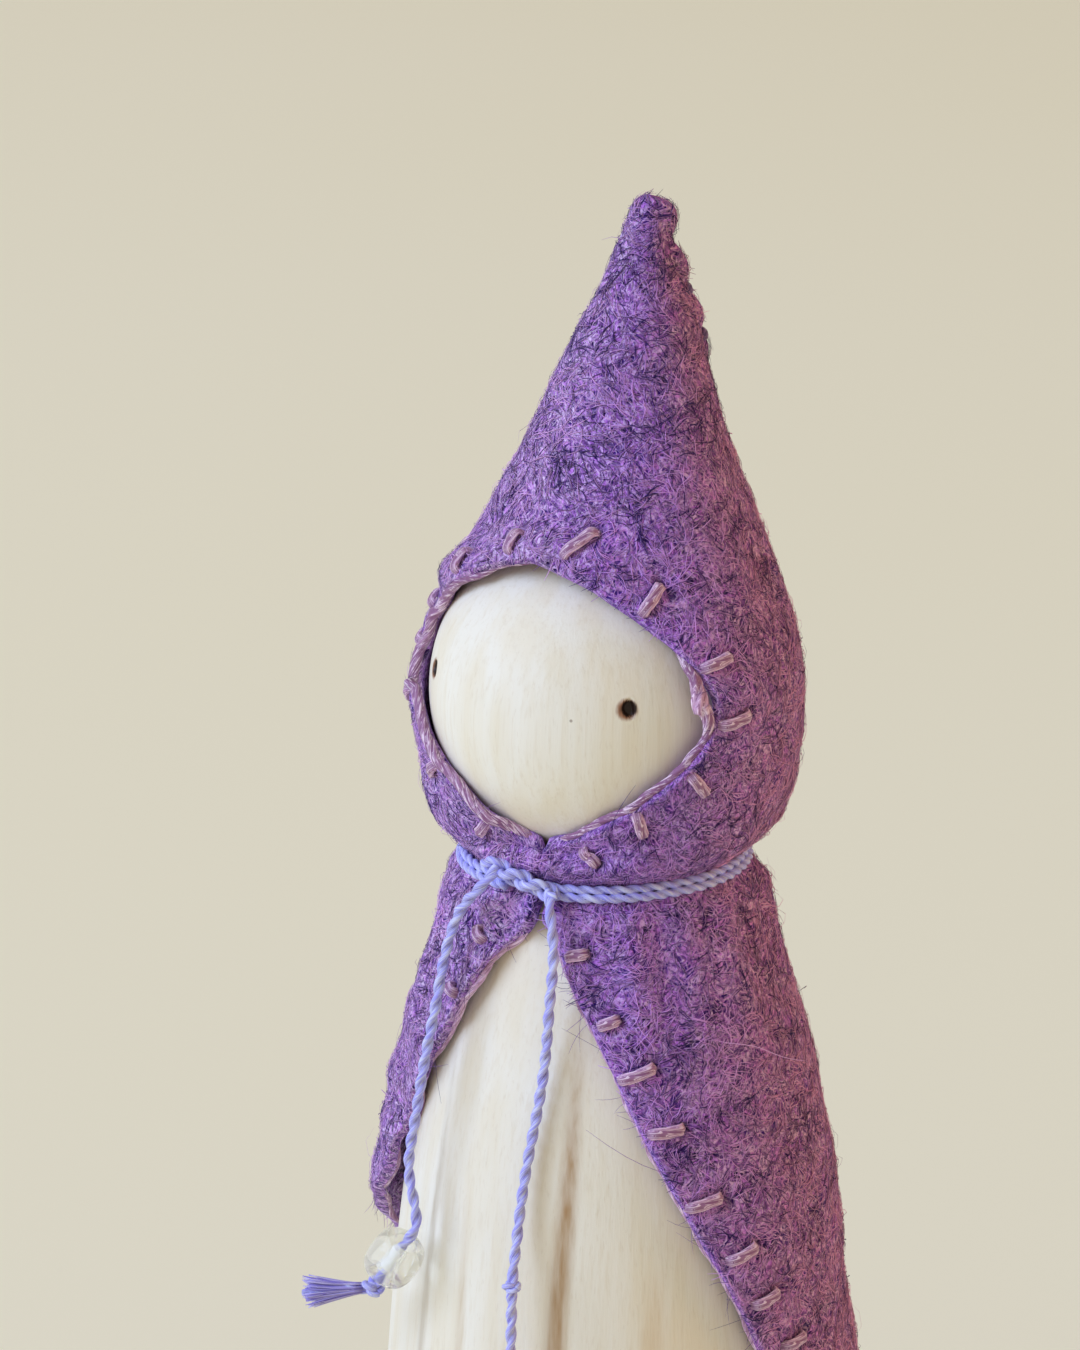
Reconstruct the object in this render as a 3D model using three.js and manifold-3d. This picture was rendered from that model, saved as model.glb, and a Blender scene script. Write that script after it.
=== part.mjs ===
// A turned wooden gnome in a hooded felt cape, tied at the neck with a beaded cord.
// Millimetres, +Z up. The origin is the centre of the flat base, and the face looks along -Y.
// Angles round the figure are in degrees from the front, growing towards +X.
import * as THREE from "three";
import { mergeVertices } from "three/addons/utils/BufferGeometryUtils.js";
import Module from "manifold-3d";

const wasm = await Module();
wasm.setup();

// Wooden peg
const PEG_HEIGHT = 90;
const HEAD_RADIUS = 11.8;
const NECK_RADIUS = 7.6;
const NECK_LENGTH = 1.8; // from the underside of the ball to the bottom of the groove
const BELL_RADIUS = 16.3; // the radius that the body tends to, far below the neck
const BELL_LENGTH = 20; // how slowly the body swells towards it
const BASE_FILLET = 1;
const EYE_ANGLE = 42;
const EYE_RISE = 2.1; // above the centre of the head
const EYE_RADIUS = 0.62;
const EYE_DEPTH = 0.35;

// Felt, cut in one piece and tied in at the neck
const FELT_THICKNESS = 1;
const HOOD_EASE = 0.3; // air between the head and the hood
const CAPE_EASE = 0.6; // air between the body and the cape
const CAPE_FLARE = 0.035; // extra air at the back, for each millimetre below the neck
const HOOD_POINT = 20.8; // from the crown of the head to the tip of the hood
const HOOD_LEAN = 0.14; // how far the point leans back, for each millimetre of height
const LEAN_START = 8; // height over which the lean sets in
const HOOD_HOLLOW = 0.55; // how far the cone draws in halfway up
const TIP_HOLLOW = 0.3; // radius of the air left inside the tip
const RIM_FLARE = 0.8; // how far the brow of the face opening stands out
const RIM_FLARE_WIDTH = 0.25; // reach of that flare, as a share of the opening
const BROW_DROP = 0.9; // from the crown of the head down to the top of the face opening
const FACE_RISE = 2.3; // from the centre of the head up to the widest place of the opening
const FACE_HALF_ANGLE = 67;
const FACE_CURVE_UP = 1.33; // roundness of the opening above its widest place
const FACE_CURVE_DOWN = 1.48; // and below it
const THROAT_RISE = 2.3; // from the neck up to the foot of the face opening
const EDGE_SLOPE = 0.62; // how fast a front edge of the cape draws aside on its way down
const EDGE_PARTING = 1.8; // below the neck, where the two front edges part
const LEFT_TURN = 7; // how far the left front edge draws aside more than the right one
const LEFT_TURN_TO = 6.7; // below the neck, where that is complete
const TUCK_TURN = 19; // how much further it is pushed back behind the body, low down
const TUCK_FROM = 21; // below the neck, where that sets in
const TUCK_TO = 33; // and where it is complete
const HEM_RISE = 15.4; // of the back hem above the base
const CORNER_RISE = 8; // of the hem at its front corners above the back hem
const CORNER_START = 0.35; // share of the hem, from the back, that runs level
const THROAT_TURN = 9.5; // the felt sits askew: how far it is turned at the throat
const TIP_TURN = -50; // and at the tip, where the seam is wrung towards the side

// Stitches
const THREAD_DIAMETER = 0.66;
const STITCH_PITCH = 4.2;
const STITCH_LENGTH = 2.4;
const LEG_BEND_OUT = 1.6; // where a leg turns over the edge of the felt, in lifts
const LEG_BEND_UP = 1.75;
const RIM_CLEAR = 0.06; // share of the rim left free at the throat, where its two sides meet
const SIDE_SHARE = 0.36; // share of the cape's thread that lies on one front edge
const SEAM_PITCH = 2.7;
const SEAM_HALF_WIDTH = 0.9;

// Tie
const CORD_DIAMETER = 0.9;
const TURN_GAP = 0.5; // between the two turns round the neck
const KNOT_RISE = 0.4; // of the middle of the knot above the neck
const KNOT_SLANT = 1.4; // from its low right end to its high left end
const KNOT_TURNS = 1.5;
const KNOT_FROM = -11; // angles of the two ends of the knot
const KNOT_TO = 16;
const KNOT_SPREAD = 0.8; // of each strand from the middle of the knot, in cord radii
const CROSS_FROM = -12; // the cord steps down to its second turn between these angles
const CROSS_TO = 18;
const BEAD_RADIUS = 2.05;
const BEAD_LENGTH = 3.4;
const BEAD_PLAY = 0.3; // between the cord and the bore of a bead
const BEAD_ROUNDNESS = 0.85; // 1 for a round ring, less for a squarer one
const STOP_KNOT_RADIUS = 0.85;
const MIDDLE_KNOT_RADIUS = 0.7;
const FRAY_LENGTH = 4.2;
const FRAY_RADIUS = 1;
const FRAY_WAIST = 0.6; // share of the frayed end that spreads slowly

// Fit
const FIT_GAP = 0.3; // between pieces that lie against each other

// Worked out from the sizes above
const CORD_RADIUS = CORD_DIAMETER / 2;
const THREAD_RADIUS = THREAD_DIAMETER / 2;
const KNOT_OFFSET = KNOT_SPREAD * CORD_RADIUS;
const KNOT_RADIUS = KNOT_OFFSET + CORD_RADIUS;
const HEAD_Z = PEG_HEIGHT - HEAD_RADIUS;
const BALL_FOOT_Z = HEAD_Z - Math.sqrt(HEAD_RADIUS ** 2 - NECK_RADIUS ** 2);
const NECK_Z = BALL_FOOT_Z - NECK_LENGTH;
const HOOD_RADIUS = HEAD_RADIUS + HOOD_EASE + FELT_THICKNESS;
const NECK_FELT_RADIUS = NECK_RADIUS + CAPE_EASE + FELT_THICKNESS;
const TIP_RADIUS = FELT_THICKNESS + TIP_HOLLOW;
const TIP_Z = PEG_HEIGHT + HOOD_POINT;
const BROW_Z = PEG_HEIGHT - BROW_DROP;
const FACE_Z = HEAD_Z + FACE_RISE;
const THROAT_Z = NECK_Z + THROAT_RISE;
const HEM_DROP = NECK_Z - HEM_RISE;
const EDGE_DROP = HEM_DROP - CORNER_RISE; // where a front edge meets the hem
const SURFACE_LIFT = FIT_GAP + THREAD_RADIUS; // of a stitch's middle above the felt
const ON_WOOD = FIT_GAP + CORD_RADIUS; // of a tail's middle from the bare wood
const ON_STITCHES = CAPE_EASE + FELT_THICKNESS + FIT_GAP + THREAD_DIAMETER + ON_WOOD;
const BEAD_STANDOFF = BEAD_RADIUS + FIT_GAP;

// Routes of the tails: angle, drop below the neck, distance from the wood
const LEFT_ROUTE = [
  [-7.5, 0.45, 3.9],
  [-10.5, 0.85, 3.9],
  [-15, 1.6, 3.7],
  [-18.6, 2.9, 3.45],
  [-19.5, 4.6, 3.4],
  [-19.5, 6.4, ON_STITCHES],
  [-18.6, 8.4, ON_STITCHES],
  [-18.4, 12.4, ON_STITCHES],
  [-19.2, 16.6, 3.1],
  [-19.2, 20.8, 2.8],
];
const LEFT_BEAD_TOP = [-18.9, 25, BEAD_STANDOFF + 0.2];
const LEFT_BEAD_FOOT = [-24.9, 28.3, BEAD_STANDOFF + 1.1];
const LEFT_FRAY_WAY = [0.75, -0.6, 0.15]; // outwards, along the growing angle, down
const RIGHT_ROUTE = [
  [16, 1.45, 3.4],
  [17.4, 2.6, 3.05],
  [18.2, 4.3, 2.6],
  [17.8, 7, 2.15],
  [16.9, 10.4, 1.4],
  [15, 14.6, ON_WOOD + 0.2],
  [13.5, 17.3, ON_WOOD + 0.2],
  [12.4, 20.6, ON_WOOD + 0.4],
  [12.4, 23.8, 1.7],
];
const RIGHT_LOWER_TOP = [13, 26.9, BEAD_STANDOFF];
const RIGHT_LOWER_FOOT = [13.4, 38.2, BEAD_STANDOFF];
const RIGHT_FRAY_WAY = [0.1, 0.1, 1];

// Step counts
const LATHE_SEGMENTS = 40;
const FILLET_STEPS = 3;
const BELL_STEPS = 10;
const BALL_STEPS = 11;
const FELT_COLUMNS = 28;
const RIM_ROWS = 12;
const CONE_ROWS = 5;
const TIP_ROWS = 2;
const CAPE_ROWS = 15;
const THREAD_SIDES = 5;
const EDGE_SAMPLES = 600;
const LEG_STEPS = 3;
const SEAM_STEPS = 3;
const WOUND_SIDES = 6;
const TURN_STEPS = 24;
const KNOT_STEPS = 14;
const TAIL_SIDES = 8;
const LEFT_STEPS = 22;
const RIGHT_STEPS = 18;
const LOWER_STEPS = 4;
const BEAD_STEPS = 12;
const BEAD_SEGMENTS = 14;
const LUMP_SEGMENTS = 10;
const LUMP_RINGS = 8;

// Colours
const WOOD = new THREE.MeshStandardMaterial({ color: 0xe9dcc0, roughness: 0.6, metalness: 0 });
const FELT = new THREE.MeshStandardMaterial({ color: 0x765299, roughness: 0.95, metalness: 0 });
const THREAD = new THREE.MeshStandardMaterial({ color: 0xb48abd, roughness: 0.7, metalness: 0 });
const CORD = new THREE.MeshStandardMaterial({ color: 0x9a97e6, roughness: 0.65, metalness: 0 });
const GLASS = new THREE.MeshStandardMaterial({ color: 0xe6ecec, roughness: 0.05, metalness: 0 });

// General helpers
const radians = THREE.MathUtils.degToRad;
const smooth = (x, from, to) => THREE.MathUtils.smoothstep(x, from, to);

function closed(geometry) {
  geometry.deleteAttribute("normal");
  geometry.deleteAttribute("uv");
  return mergeVertices(geometry, 1e-4);
}

function solidOf(geometry) {
  const merged = closed(geometry);
  const vertProperties = new Float32Array(merged.attributes.position.array);
  const triVerts = new Uint32Array(merged.index.array);
  return new wasm.Manifold(new wasm.Mesh({ numProp: 3, vertProperties, triVerts }));
}

function geometryOf(solid) {
  const { vertProperties, triVerts, numProp } = solid.getMesh();
  const geometry = new THREE.BufferGeometry();
  const points = new THREE.InterleavedBuffer(vertProperties, numProp);
  geometry.setAttribute("position", new THREE.InterleavedBufferAttribute(points, 3, 0));
  geometry.setIndex(new THREE.BufferAttribute(triVerts, 1));
  return geometry;
}

function part(name, geometry, material) {
  const mesh = new THREE.Mesh(geometry, material.clone());
  mesh.name = name;
  return mesh;
}

// A round bar of a few sides along a curve, closed at both ends.
function bar(curve, radius, sides, steps) {
  const section = new THREE.Shape();
  for (let i = 0; i < sides; i += 1) {
    const turn = (2 * Math.PI * i) / sides;
    const corner = [radius * Math.cos(turn), radius * Math.sin(turn)];
    if (i === 0) section.moveTo(...corner);
    else section.lineTo(...corner);
  }
  section.closePath();
  return new THREE.ExtrudeGeometry(section, { steps, extrudePath: curve, bevelEnabled: false });
}

const through = (points) => new THREE.CatmullRomCurve3(points, false, "centripetal");

function joined(geometries) {
  return geometryOf(geometries.map(solidOf).reduce((whole, next) => whole.add(next)));
}

function turnedAlong(geometry, middle, way) {
  const turn = new THREE.Quaternion().setFromUnitVectors(new THREE.Vector3(0, 1, 0), way);
  return geometry.applyQuaternion(turn).translate(...middle.toArray());
}

// Wooden peg
function bodyRadius(z) {
  const drop = Math.max(0, NECK_Z - z);
  return BELL_RADIUS - (BELL_RADIUS - NECK_RADIUS) * Math.exp(-drop / BELL_LENGTH);
}

function headPoint(angle, rise) {
  const reach = Math.sqrt(HEAD_RADIUS ** 2 - rise ** 2);
  const turn = radians(angle);
  return new THREE.Vector3(reach * Math.sin(turn), -reach * Math.cos(turn), HEAD_Z + rise);
}

function woodenPeg() {
  const profile = [new THREE.Vector2(0, 0)];
  const footRadius = bodyRadius(BASE_FILLET);
  for (let i = 0; i <= FILLET_STEPS; i += 1) {
    const turn = (Math.PI / 2) * (i / FILLET_STEPS);
    const inset = BASE_FILLET * (1 - Math.sin(turn));
    profile.push(new THREE.Vector2(footRadius - inset, BASE_FILLET * (1 - Math.cos(turn))));
  }
  for (let i = 1; i <= BELL_STEPS; i += 1) {
    const share = 1 - (1 - i / BELL_STEPS) ** 2; // closer steps near the neck
    const z = BASE_FILLET + (NECK_Z - BASE_FILLET) * share;
    profile.push(new THREE.Vector2(bodyRadius(z), z));
  }
  const lowest = Math.asin((BALL_FOOT_Z - HEAD_Z) / HEAD_RADIUS);
  for (let i = 0; i < BALL_STEPS; i += 1) {
    const rise = lowest + (Math.PI / 2 - lowest) * (i / BALL_STEPS);
    profile.push(new THREE.Vector2(HEAD_RADIUS * Math.cos(rise), HEAD_Z + HEAD_RADIUS * Math.sin(rise)));
  }
  profile.push(new THREE.Vector2(0, PEG_HEIGHT));
  const turned = solidOf(new THREE.LatheGeometry(profile, LATHE_SEGMENTS).rotateX(Math.PI / 2));
  const pit = (angle) => {
    const ball = new THREE.SphereGeometry(EYE_RADIUS, LUMP_SEGMENTS, LUMP_RINGS);
    const seat = headPoint(angle, EYE_RISE);
    const out = seat.clone().sub(new THREE.Vector3(0, 0, HEAD_Z)).normalize();
    return solidOf(ball.translate(...seat.addScaledVector(out, EYE_RADIUS - EYE_DEPTH).toArray()));
  };
  return geometryOf(turned.subtract(pit(EYE_ANGLE)).subtract(pit(-EYE_ANGLE)));
}

// Felt surfaces: a point for each angle, in radians from the felt's own front, and height
function feltTurn(z) {
  const throat = THROAT_TURN * (1 - smooth(z, THROAT_Z, BROW_Z));
  return radians(throat + TIP_TURN * smooth(z, BROW_Z, TIP_Z));
}

function feltLean(z) {
  const rise = Math.max(0, z - HEAD_Z);
  return HOOD_LEAN * rise * smooth(rise, 0, LEAN_START);
}

function onFelt(angle, z, radius) {
  const turn = angle + feltTurn(z);
  return new THREE.Vector3(radius * Math.sin(turn), feltLean(z) - radius * Math.cos(turn), z);
}

// The angle of the felt that lies nearest to a point.
function feltAngle({ x, y, z }) {
  return Math.atan2(x, feltLean(z) - y) - feltTurn(z);
}

// The hood hugs the ball, then runs as a slightly hollow cone to a small round tip.
function hoodRadius(z) {
  const rise = z - HEAD_Z;
  if (rise < 0) {
    const share = rise / (NECK_Z - HEAD_Z);
    return HOOD_RADIUS - (HOOD_RADIUS - NECK_FELT_RADIUS) * share ** 3;
  }
  const tipRise = TIP_Z - TIP_RADIUS - HEAD_Z;
  const sine = (HOOD_RADIUS - TIP_RADIUS) / tipRise;
  const cosine = Math.sqrt(1 - sine ** 2);
  const coneFrom = HOOD_RADIUS * sine;
  const coneTo = tipRise + TIP_RADIUS * sine;
  if (rise < coneFrom) return Math.sqrt(HOOD_RADIUS ** 2 - rise ** 2);
  if (rise > coneTo) return Math.sqrt(Math.max(0, TIP_RADIUS ** 2 - (rise - tipRise) ** 2));
  const share = (rise - coneFrom) / (coneTo - coneFrom);
  const straight = HOOD_RADIUS * cosine - ((rise - coneFrom) * sine) / cosine;
  return straight - HOOD_HOLLOW * Math.sin(Math.PI * share);
}

// 1 on the rim of the face opening, less inside it and more outside it.
function rimLevel(angle, z) {
  const side = Math.abs(Math.atan2(Math.sin(angle), Math.cos(angle))) / radians(FACE_HALF_ANGLE);
  const above = z > FACE_Z;
  const height = above ? (z - FACE_Z) / (BROW_Z - FACE_Z) : (FACE_Z - z) / (FACE_Z - THROAT_Z);
  const power = 2 / (above ? FACE_CURVE_UP : FACE_CURVE_DOWN);
  return (side ** power + height ** power) ** (1 / power);
}

function hoodPoint(angle, z) {
  const near = Math.exp(-(((rimLevel(angle, z) - 1) / RIM_FLARE_WIDTH) ** 2));
  const flare = RIM_FLARE * near * smooth(z, THROAT_Z, FACE_Z);
  return onFelt(angle, z, hoodRadius(z) + flare);
}

function capePoint(angle, z) {
  const drop = NECK_Z - z;
  const air = CAPE_EASE + CAPE_FLARE * Math.max(0, drop) * (0.5 - 0.5 * Math.cos(angle));
  return onFelt(angle, z, bodyRadius(z) + air + FELT_THICKNESS);
}

function feltNormal(surface, angle, z) {
  const step = 1e-3;
  const along = surface(angle + step, z).sub(surface(angle - step, z));
  const up = surface(angle, z + step).sub(surface(angle, z - step));
  return along.cross(up).normalize();
}

function liftedPoint(surface, angle, z, lift) {
  return surface(angle, z).addScaledVector(feltNormal(surface, angle, z), lift);
}

// Edges of the felt: half-angles and heights
const slitAngle = FIT_GAP / 2 / NECK_FELT_RADIUS;

// Goes from the brow, at 0, round the face to the throat, at a half turn.
function faceRim(turn) {
  const above = turn < Math.PI / 2;
  const power = above ? FACE_CURVE_UP : FACE_CURVE_DOWN;
  const reach = above ? BROW_Z - FACE_Z : THROAT_Z - FACE_Z;
  const half = radians(FACE_HALF_ANGLE) * Math.abs(Math.sin(turn)) ** power;
  return { half, z: FACE_Z + reach * Math.abs(Math.cos(turn)) ** power };
}

function capeHalfAngle(drop, left) {
  const radius = bodyRadius(NECK_Z - drop) + CAPE_EASE + FELT_THICKNESS;
  const aside = LEFT_TURN * smooth(drop, EDGE_PARTING, LEFT_TURN_TO) + TUCK_TURN * smooth(drop, TUCK_FROM, TUCK_TO);
  const half = slitAngle + (EDGE_SLOPE * Math.max(0, drop - EDGE_PARTING)) / radius;
  return left ? half + radians(aside) : half;
}

// Drop of the hem below the neck; side goes from 0 at the back to 1 at a front corner.
function hemDrop(side) {
  const rounded = Math.max(0, (side - CORNER_START) / (1 - CORNER_START));
  return HEM_DROP - CORNER_RISE * rounded ** 2;
}

// A sheet of felt from rows of angle and height, each from the right front edge round the back
// to the left one. From the row openRows on, the front is closed; a tip closes the last row.
function feltSolid(surface, rows, openRows, tip) {
  const columns = rows[0].length;
  const points = [];
  const lay = (lift) => {
    const first = points.length;
    rows.flat().forEach(([angle, z]) => points.push(liftedPoint(surface, angle, z, lift)));
    return (row, column) => first + row * columns + column;
  };
  const outer = lay(0);
  const inner = lay(-FELT_THICKNESS);
  const faces = [];
  const quad = (a, b, c, d) => faces.push(a, b, c, a, c, d);
  const last = rows.length - 1;
  for (let row = 0; row < last; row += 1) {
    for (let i = 0; i < columns - 1; i += 1) {
      quad(outer(row, i), outer(row, i + 1), outer(row + 1, i + 1), outer(row + 1, i));
      quad(inner(row, i + 1), inner(row, i), inner(row + 1, i), inner(row + 1, i + 1));
    }
    if (row < openRows) {
      const end = columns - 1;
      quad(outer(row, 0), outer(row + 1, 0), inner(row + 1, 0), inner(row, 0));
      quad(outer(row + 1, end), outer(row, end), inner(row, end), inner(row + 1, end));
    }
  }
  const outerTip = points.length;
  if (tip) points.push(tip, tip.clone().setZ(tip.z - FELT_THICKNESS));
  for (let i = 0; i < columns - 1; i += 1) {
    quad(inner(0, i), inner(0, i + 1), outer(0, i + 1), outer(0, i));
    if (tip) {
      faces.push(outer(last, i), outer(last, i + 1), outerTip);
      faces.push(inner(last, i + 1), inner(last, i), outerTip + 1);
    } else {
      quad(outer(last, i), outer(last, i + 1), inner(last, i + 1), inner(last, i));
    }
  }
  const geometry = new THREE.BufferGeometry().setFromPoints(points);
  geometry.setIndex(faces);
  return geometryOf(solidOf(geometry));
}

// One row of the sheet, from its right front edge round the back to the left one.
function feltRow(rightHalf, heightAt, leftHalf = rightHalf) {
  return Array.from({ length: FELT_COLUMNS + 1 }, (_, i) => {
    const side = (2 * i) / FELT_COLUMNS - 1;
    const half = side > 0 ? leftHalf : rightHalf;
    return [Math.PI + side * (Math.PI - half), heightAt(Math.abs(side))];
  });
}

function feltHood() {
  const rows = [feltRow(slitAngle, () => NECK_Z + FIT_GAP / 2)];
  for (let i = 0; i <= RIM_ROWS; i += 1) {
    const { half, z } = faceRim(Math.PI * (1 - i / RIM_ROWS));
    const backZ = THROAT_Z + ((BROW_Z - THROAT_Z) * i) / RIM_ROWS;
    const open = i < RIM_ROWS ? Math.max(half, slitAngle) : 0;
    rows.push(feltRow(open, (side) => backZ + (z - backZ) * side ** 2));
  }
  const openRows = rows.length - 1;
  const capFrom = TIP_Z - TIP_RADIUS;
  for (let i = 1; i <= CONE_ROWS; i += 1) {
    rows.push(feltRow(0, () => BROW_Z + ((capFrom - BROW_Z) * i) / CONE_ROWS));
  }
  for (let i = 1; i <= TIP_ROWS; i += 1) {
    const rise = TIP_RADIUS * Math.sin((Math.PI / 2) * (i / (TIP_ROWS + 1)));
    rows.push(feltRow(0, () => capFrom + rise));
  }
  const tip = hoodPoint(0, TIP_Z).setX(0);
  return feltSolid(hoodPoint, rows, openRows, tip);
}

function feltCape() {
  const rows = [];
  for (let i = CAPE_ROWS; i >= 0; i -= 1) {
    const share = i / CAPE_ROWS;
    const drop = EDGE_DROP * share;
    const heightAt = (side) => NECK_Z - FIT_GAP / 2 - hemDrop(side) * share;
    rows.push(feltRow(capeHalfAngle(drop, false), heightAt, capeHalfAngle(drop, true)));
  }
  return feltSolid(capePoint, rows, CAPE_ROWS + 1, null);
}

// Stitches: an edge is a function from 0 to 1 that gives an angle and a height. It runs so that
// the felt lies on the right of someone who walks along it on the felt's outer face.
function edgeFrame(surface, edge, share) {
  const [angle, z] = edge(share);
  const step = 1e-4;
  const before = surface(...edge(share - step));
  const after = surface(...edge(share + step));
  const normal = feltNormal(surface, angle, z);
  const out = normal.clone().cross(after.sub(before)).normalize();
  return { point: surface(angle, z), normal, out };
}

function evenShares(surface, edge, pitch) {
  const at = (i) => surface(...edge(i / EDGE_SAMPLES));
  const lengths = [0];
  for (let i = 1; i <= EDGE_SAMPLES; i += 1) {
    lengths.push(lengths[i - 1] + at(i).distanceTo(at(i - 1)));
  }
  const whole = lengths[EDGE_SAMPLES];
  const count = Math.round(whole / pitch);
  return Array.from({ length: count + 1 }, (_, i) => {
    const want = (whole * i) / count;
    const after = Math.max(1, lengths.findIndex((length) => length >= want - 1e-9));
    const over = (want - lengths[after - 1]) / (lengths[after] - lengths[after - 1]);
    return (after - 1 + over) / EDGE_SAMPLES;
  });
}

// Blanket stitch: a thread along the edge, with a leg over the felt at each stitch.
function blanketStitch(surface, edge) {
  const middle = ({ point, normal, out }) =>
    point.clone().addScaledVector(normal, -FELT_THICKNESS / 2).addScaledVector(out, SURFACE_LIFT);
  const shares = evenShares(surface, edge, STITCH_PITCH / 2);
  const frames = shares.map((share) => edgeFrame(surface, edge, share));
  const bars = [bar(through(frames.map(middle)), THREAD_RADIUS, THREAD_SIDES, frames.length - 1)];
  for (let i = 1; i < frames.length - 1; i += 2) {
    const { point, normal, out } = frames[i];
    const bend = point.clone().addScaledVector(out, LEG_BEND_OUT * SURFACE_LIFT);
    bend.addScaledVector(normal, LEG_BEND_UP * SURFACE_LIFT);
    const inwards = point.clone().addScaledVector(out, -STITCH_LENGTH);
    const end = liftedPoint(surface, feltAngle(inwards), inwards.z, SURFACE_LIFT);
    const leg = new THREE.QuadraticBezierCurve3(middle(frames[i]), bend, end);
    bars.push(bar(leg, THREAD_RADIUS, THREAD_SIDES, LEG_STEPS));
  }
  return joined(bars);
}

function hoodEdge(share) {
  const turn = Math.PI * (1 - RIM_CLEAR) * (1 - 2 * share);
  const { half, z } = faceRim(Math.abs(turn));
  return [Math.sign(turn) * half, z];
}

function capeEdge(share) {
  const startDrop = EDGE_PARTING + 2 * THREAD_DIAMETER;
  const hemShare = (share - SIDE_SHARE) / (1 - 2 * SIDE_SHARE);
  if (hemShare > 0 && hemShare < 1) {
    const side = 1 - 2 * hemShare;
    const cornerAngle = Math.PI - capeHalfAngle(EDGE_DROP, side > 0);
    return [Math.PI + side * cornerAngle, NECK_Z - FIT_GAP / 2 - hemDrop(Math.abs(side))];
  }
  const left = hemShare <= 0;
  const down = (left ? share : 1 - share) / SIDE_SHARE;
  const drop = startDrop + (EDGE_DROP - startDrop) * down;
  const half = capeHalfAngle(drop, left);
  return [left ? 2 * Math.PI - half : half, NECK_Z - FIT_GAP / 2 - drop];
}

// Overcast stitch: a zigzag across the back seam, from the neck to the tip.
function backSeamThread() {
  const fromZ = THROAT_Z;
  const toZ = TIP_Z - 2 * TIP_RADIUS;
  const count = 2 * Math.round((toZ - fromZ) / SEAM_PITCH);
  const points = Array.from({ length: count + 1 }, (_, i) => {
    const z = fromZ + ((toZ - fromZ) * i) / count;
    const side = i % 2 === 0 ? 1 : -1;
    const reach = Math.min(1, SEAM_HALF_WIDTH / hoodRadius(z));
    return liftedPoint(hoodPoint, Math.PI + side * reach, z, SURFACE_LIFT);
  });
  return bar(through(points), THREAD_RADIUS, THREAD_SIDES, SEAM_STEPS * count);
}

// Tie: the upper turn lies in the crease between hood and cape, the lower one below it on the cape
const hoodSlope = Math.atan((3 * (HOOD_RADIUS - NECK_FELT_RADIUS)) / (HEAD_Z - NECK_Z));
const capeSlope = Math.atan((BELL_RADIUS - NECK_RADIUS) / BELL_LENGTH + CAPE_FLARE);
const hoodWay = new THREE.Vector2(Math.sin(hoodSlope), Math.cos(hoodSlope));
const capeWay = new THREE.Vector2(Math.sin(capeSlope), -Math.cos(capeSlope));
const creaseDepth = ON_WOOD / Math.sin((Math.PI - hoodSlope - capeSlope) / 2);
const upperTurn = new THREE.Vector2(NECK_FELT_RADIUS, NECK_Z).addScaledVector(
  hoodWay.clone().add(capeWay).normalize(),
  creaseDepth,
);
const TURN_PITCH = CORD_DIAMETER + TURN_GAP;

function neckWinding() {
  const from = CROSS_TO;
  const to = CROSS_FROM + 720;
  const steps = Math.round((TURN_STEPS * (to - from)) / 360);
  const points = Array.from({ length: steps + 1 }, (_, i) => {
    const angle = from + ((to - from) * i) / steps;
    const down = TURN_PITCH * smooth(angle, CROSS_FROM + 360, CROSS_TO + 360);
    const seat = upperTurn.clone().addScaledVector(capeWay, down);
    const turn = radians(angle);
    return new THREE.Vector3(seat.x * Math.sin(turn), -seat.x * Math.cos(turn), seat.y);
  });
  let least = Infinity;
  points.forEach((a, i) => {
    points.slice(i + TURN_STEPS / 2).forEach((b) => {
      least = Math.min(least, a.distanceTo(b));
    });
  });
  console.log(`neck winding: least gap to itself ${(least - CORD_DIAMETER).toFixed(2)} mm`);
  return bar(through(points), CORD_RADIUS, WOUND_SIDES, steps);
}

// The half knot: two strands that twist round each other in front of the crossing.
const knotReach = CORD_RADIUS + KNOT_RADIUS + FIT_GAP;
const knotLift = NECK_Z + KNOT_RISE - upperTurn.y;
const knotSeat = upperTurn.x + Math.sqrt(knotReach ** 2 - knotLift ** 2);

function neckKnot() {
  const strand = (start) => {
    const points = Array.from({ length: KNOT_STEPS + 1 }, (_, i) => {
      const share = i / KNOT_STEPS;
      const turn = radians(KNOT_FROM + (KNOT_TO - KNOT_FROM) * share);
      const twist = start + 2 * Math.PI * KNOT_TURNS * share;
      const radius = knotSeat + KNOT_OFFSET * Math.cos(twist);
      const z = NECK_Z + KNOT_RISE + KNOT_SLANT * (0.5 - share) + KNOT_OFFSET * Math.sin(twist);
      return new THREE.Vector3(radius * Math.sin(turn), -radius * Math.cos(turn), z);
    });
    return bar(through(points), CORD_RADIUS, WOUND_SIDES, KNOT_STEPS);
  };
  return joined([strand(0), strand(Math.PI)]);
}

// Tails
function routePoint([angle, drop, distance]) {
  const turn = radians(angle);
  const radius = bodyRadius(NECK_Z - drop) + distance;
  return new THREE.Vector3(radius * Math.sin(turn), -radius * Math.cos(turn), NECK_Z - drop);
}

function tailCord(points, steps) {
  return bar(through(points), CORD_RADIUS, TAIL_SIDES, steps);
}

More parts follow.
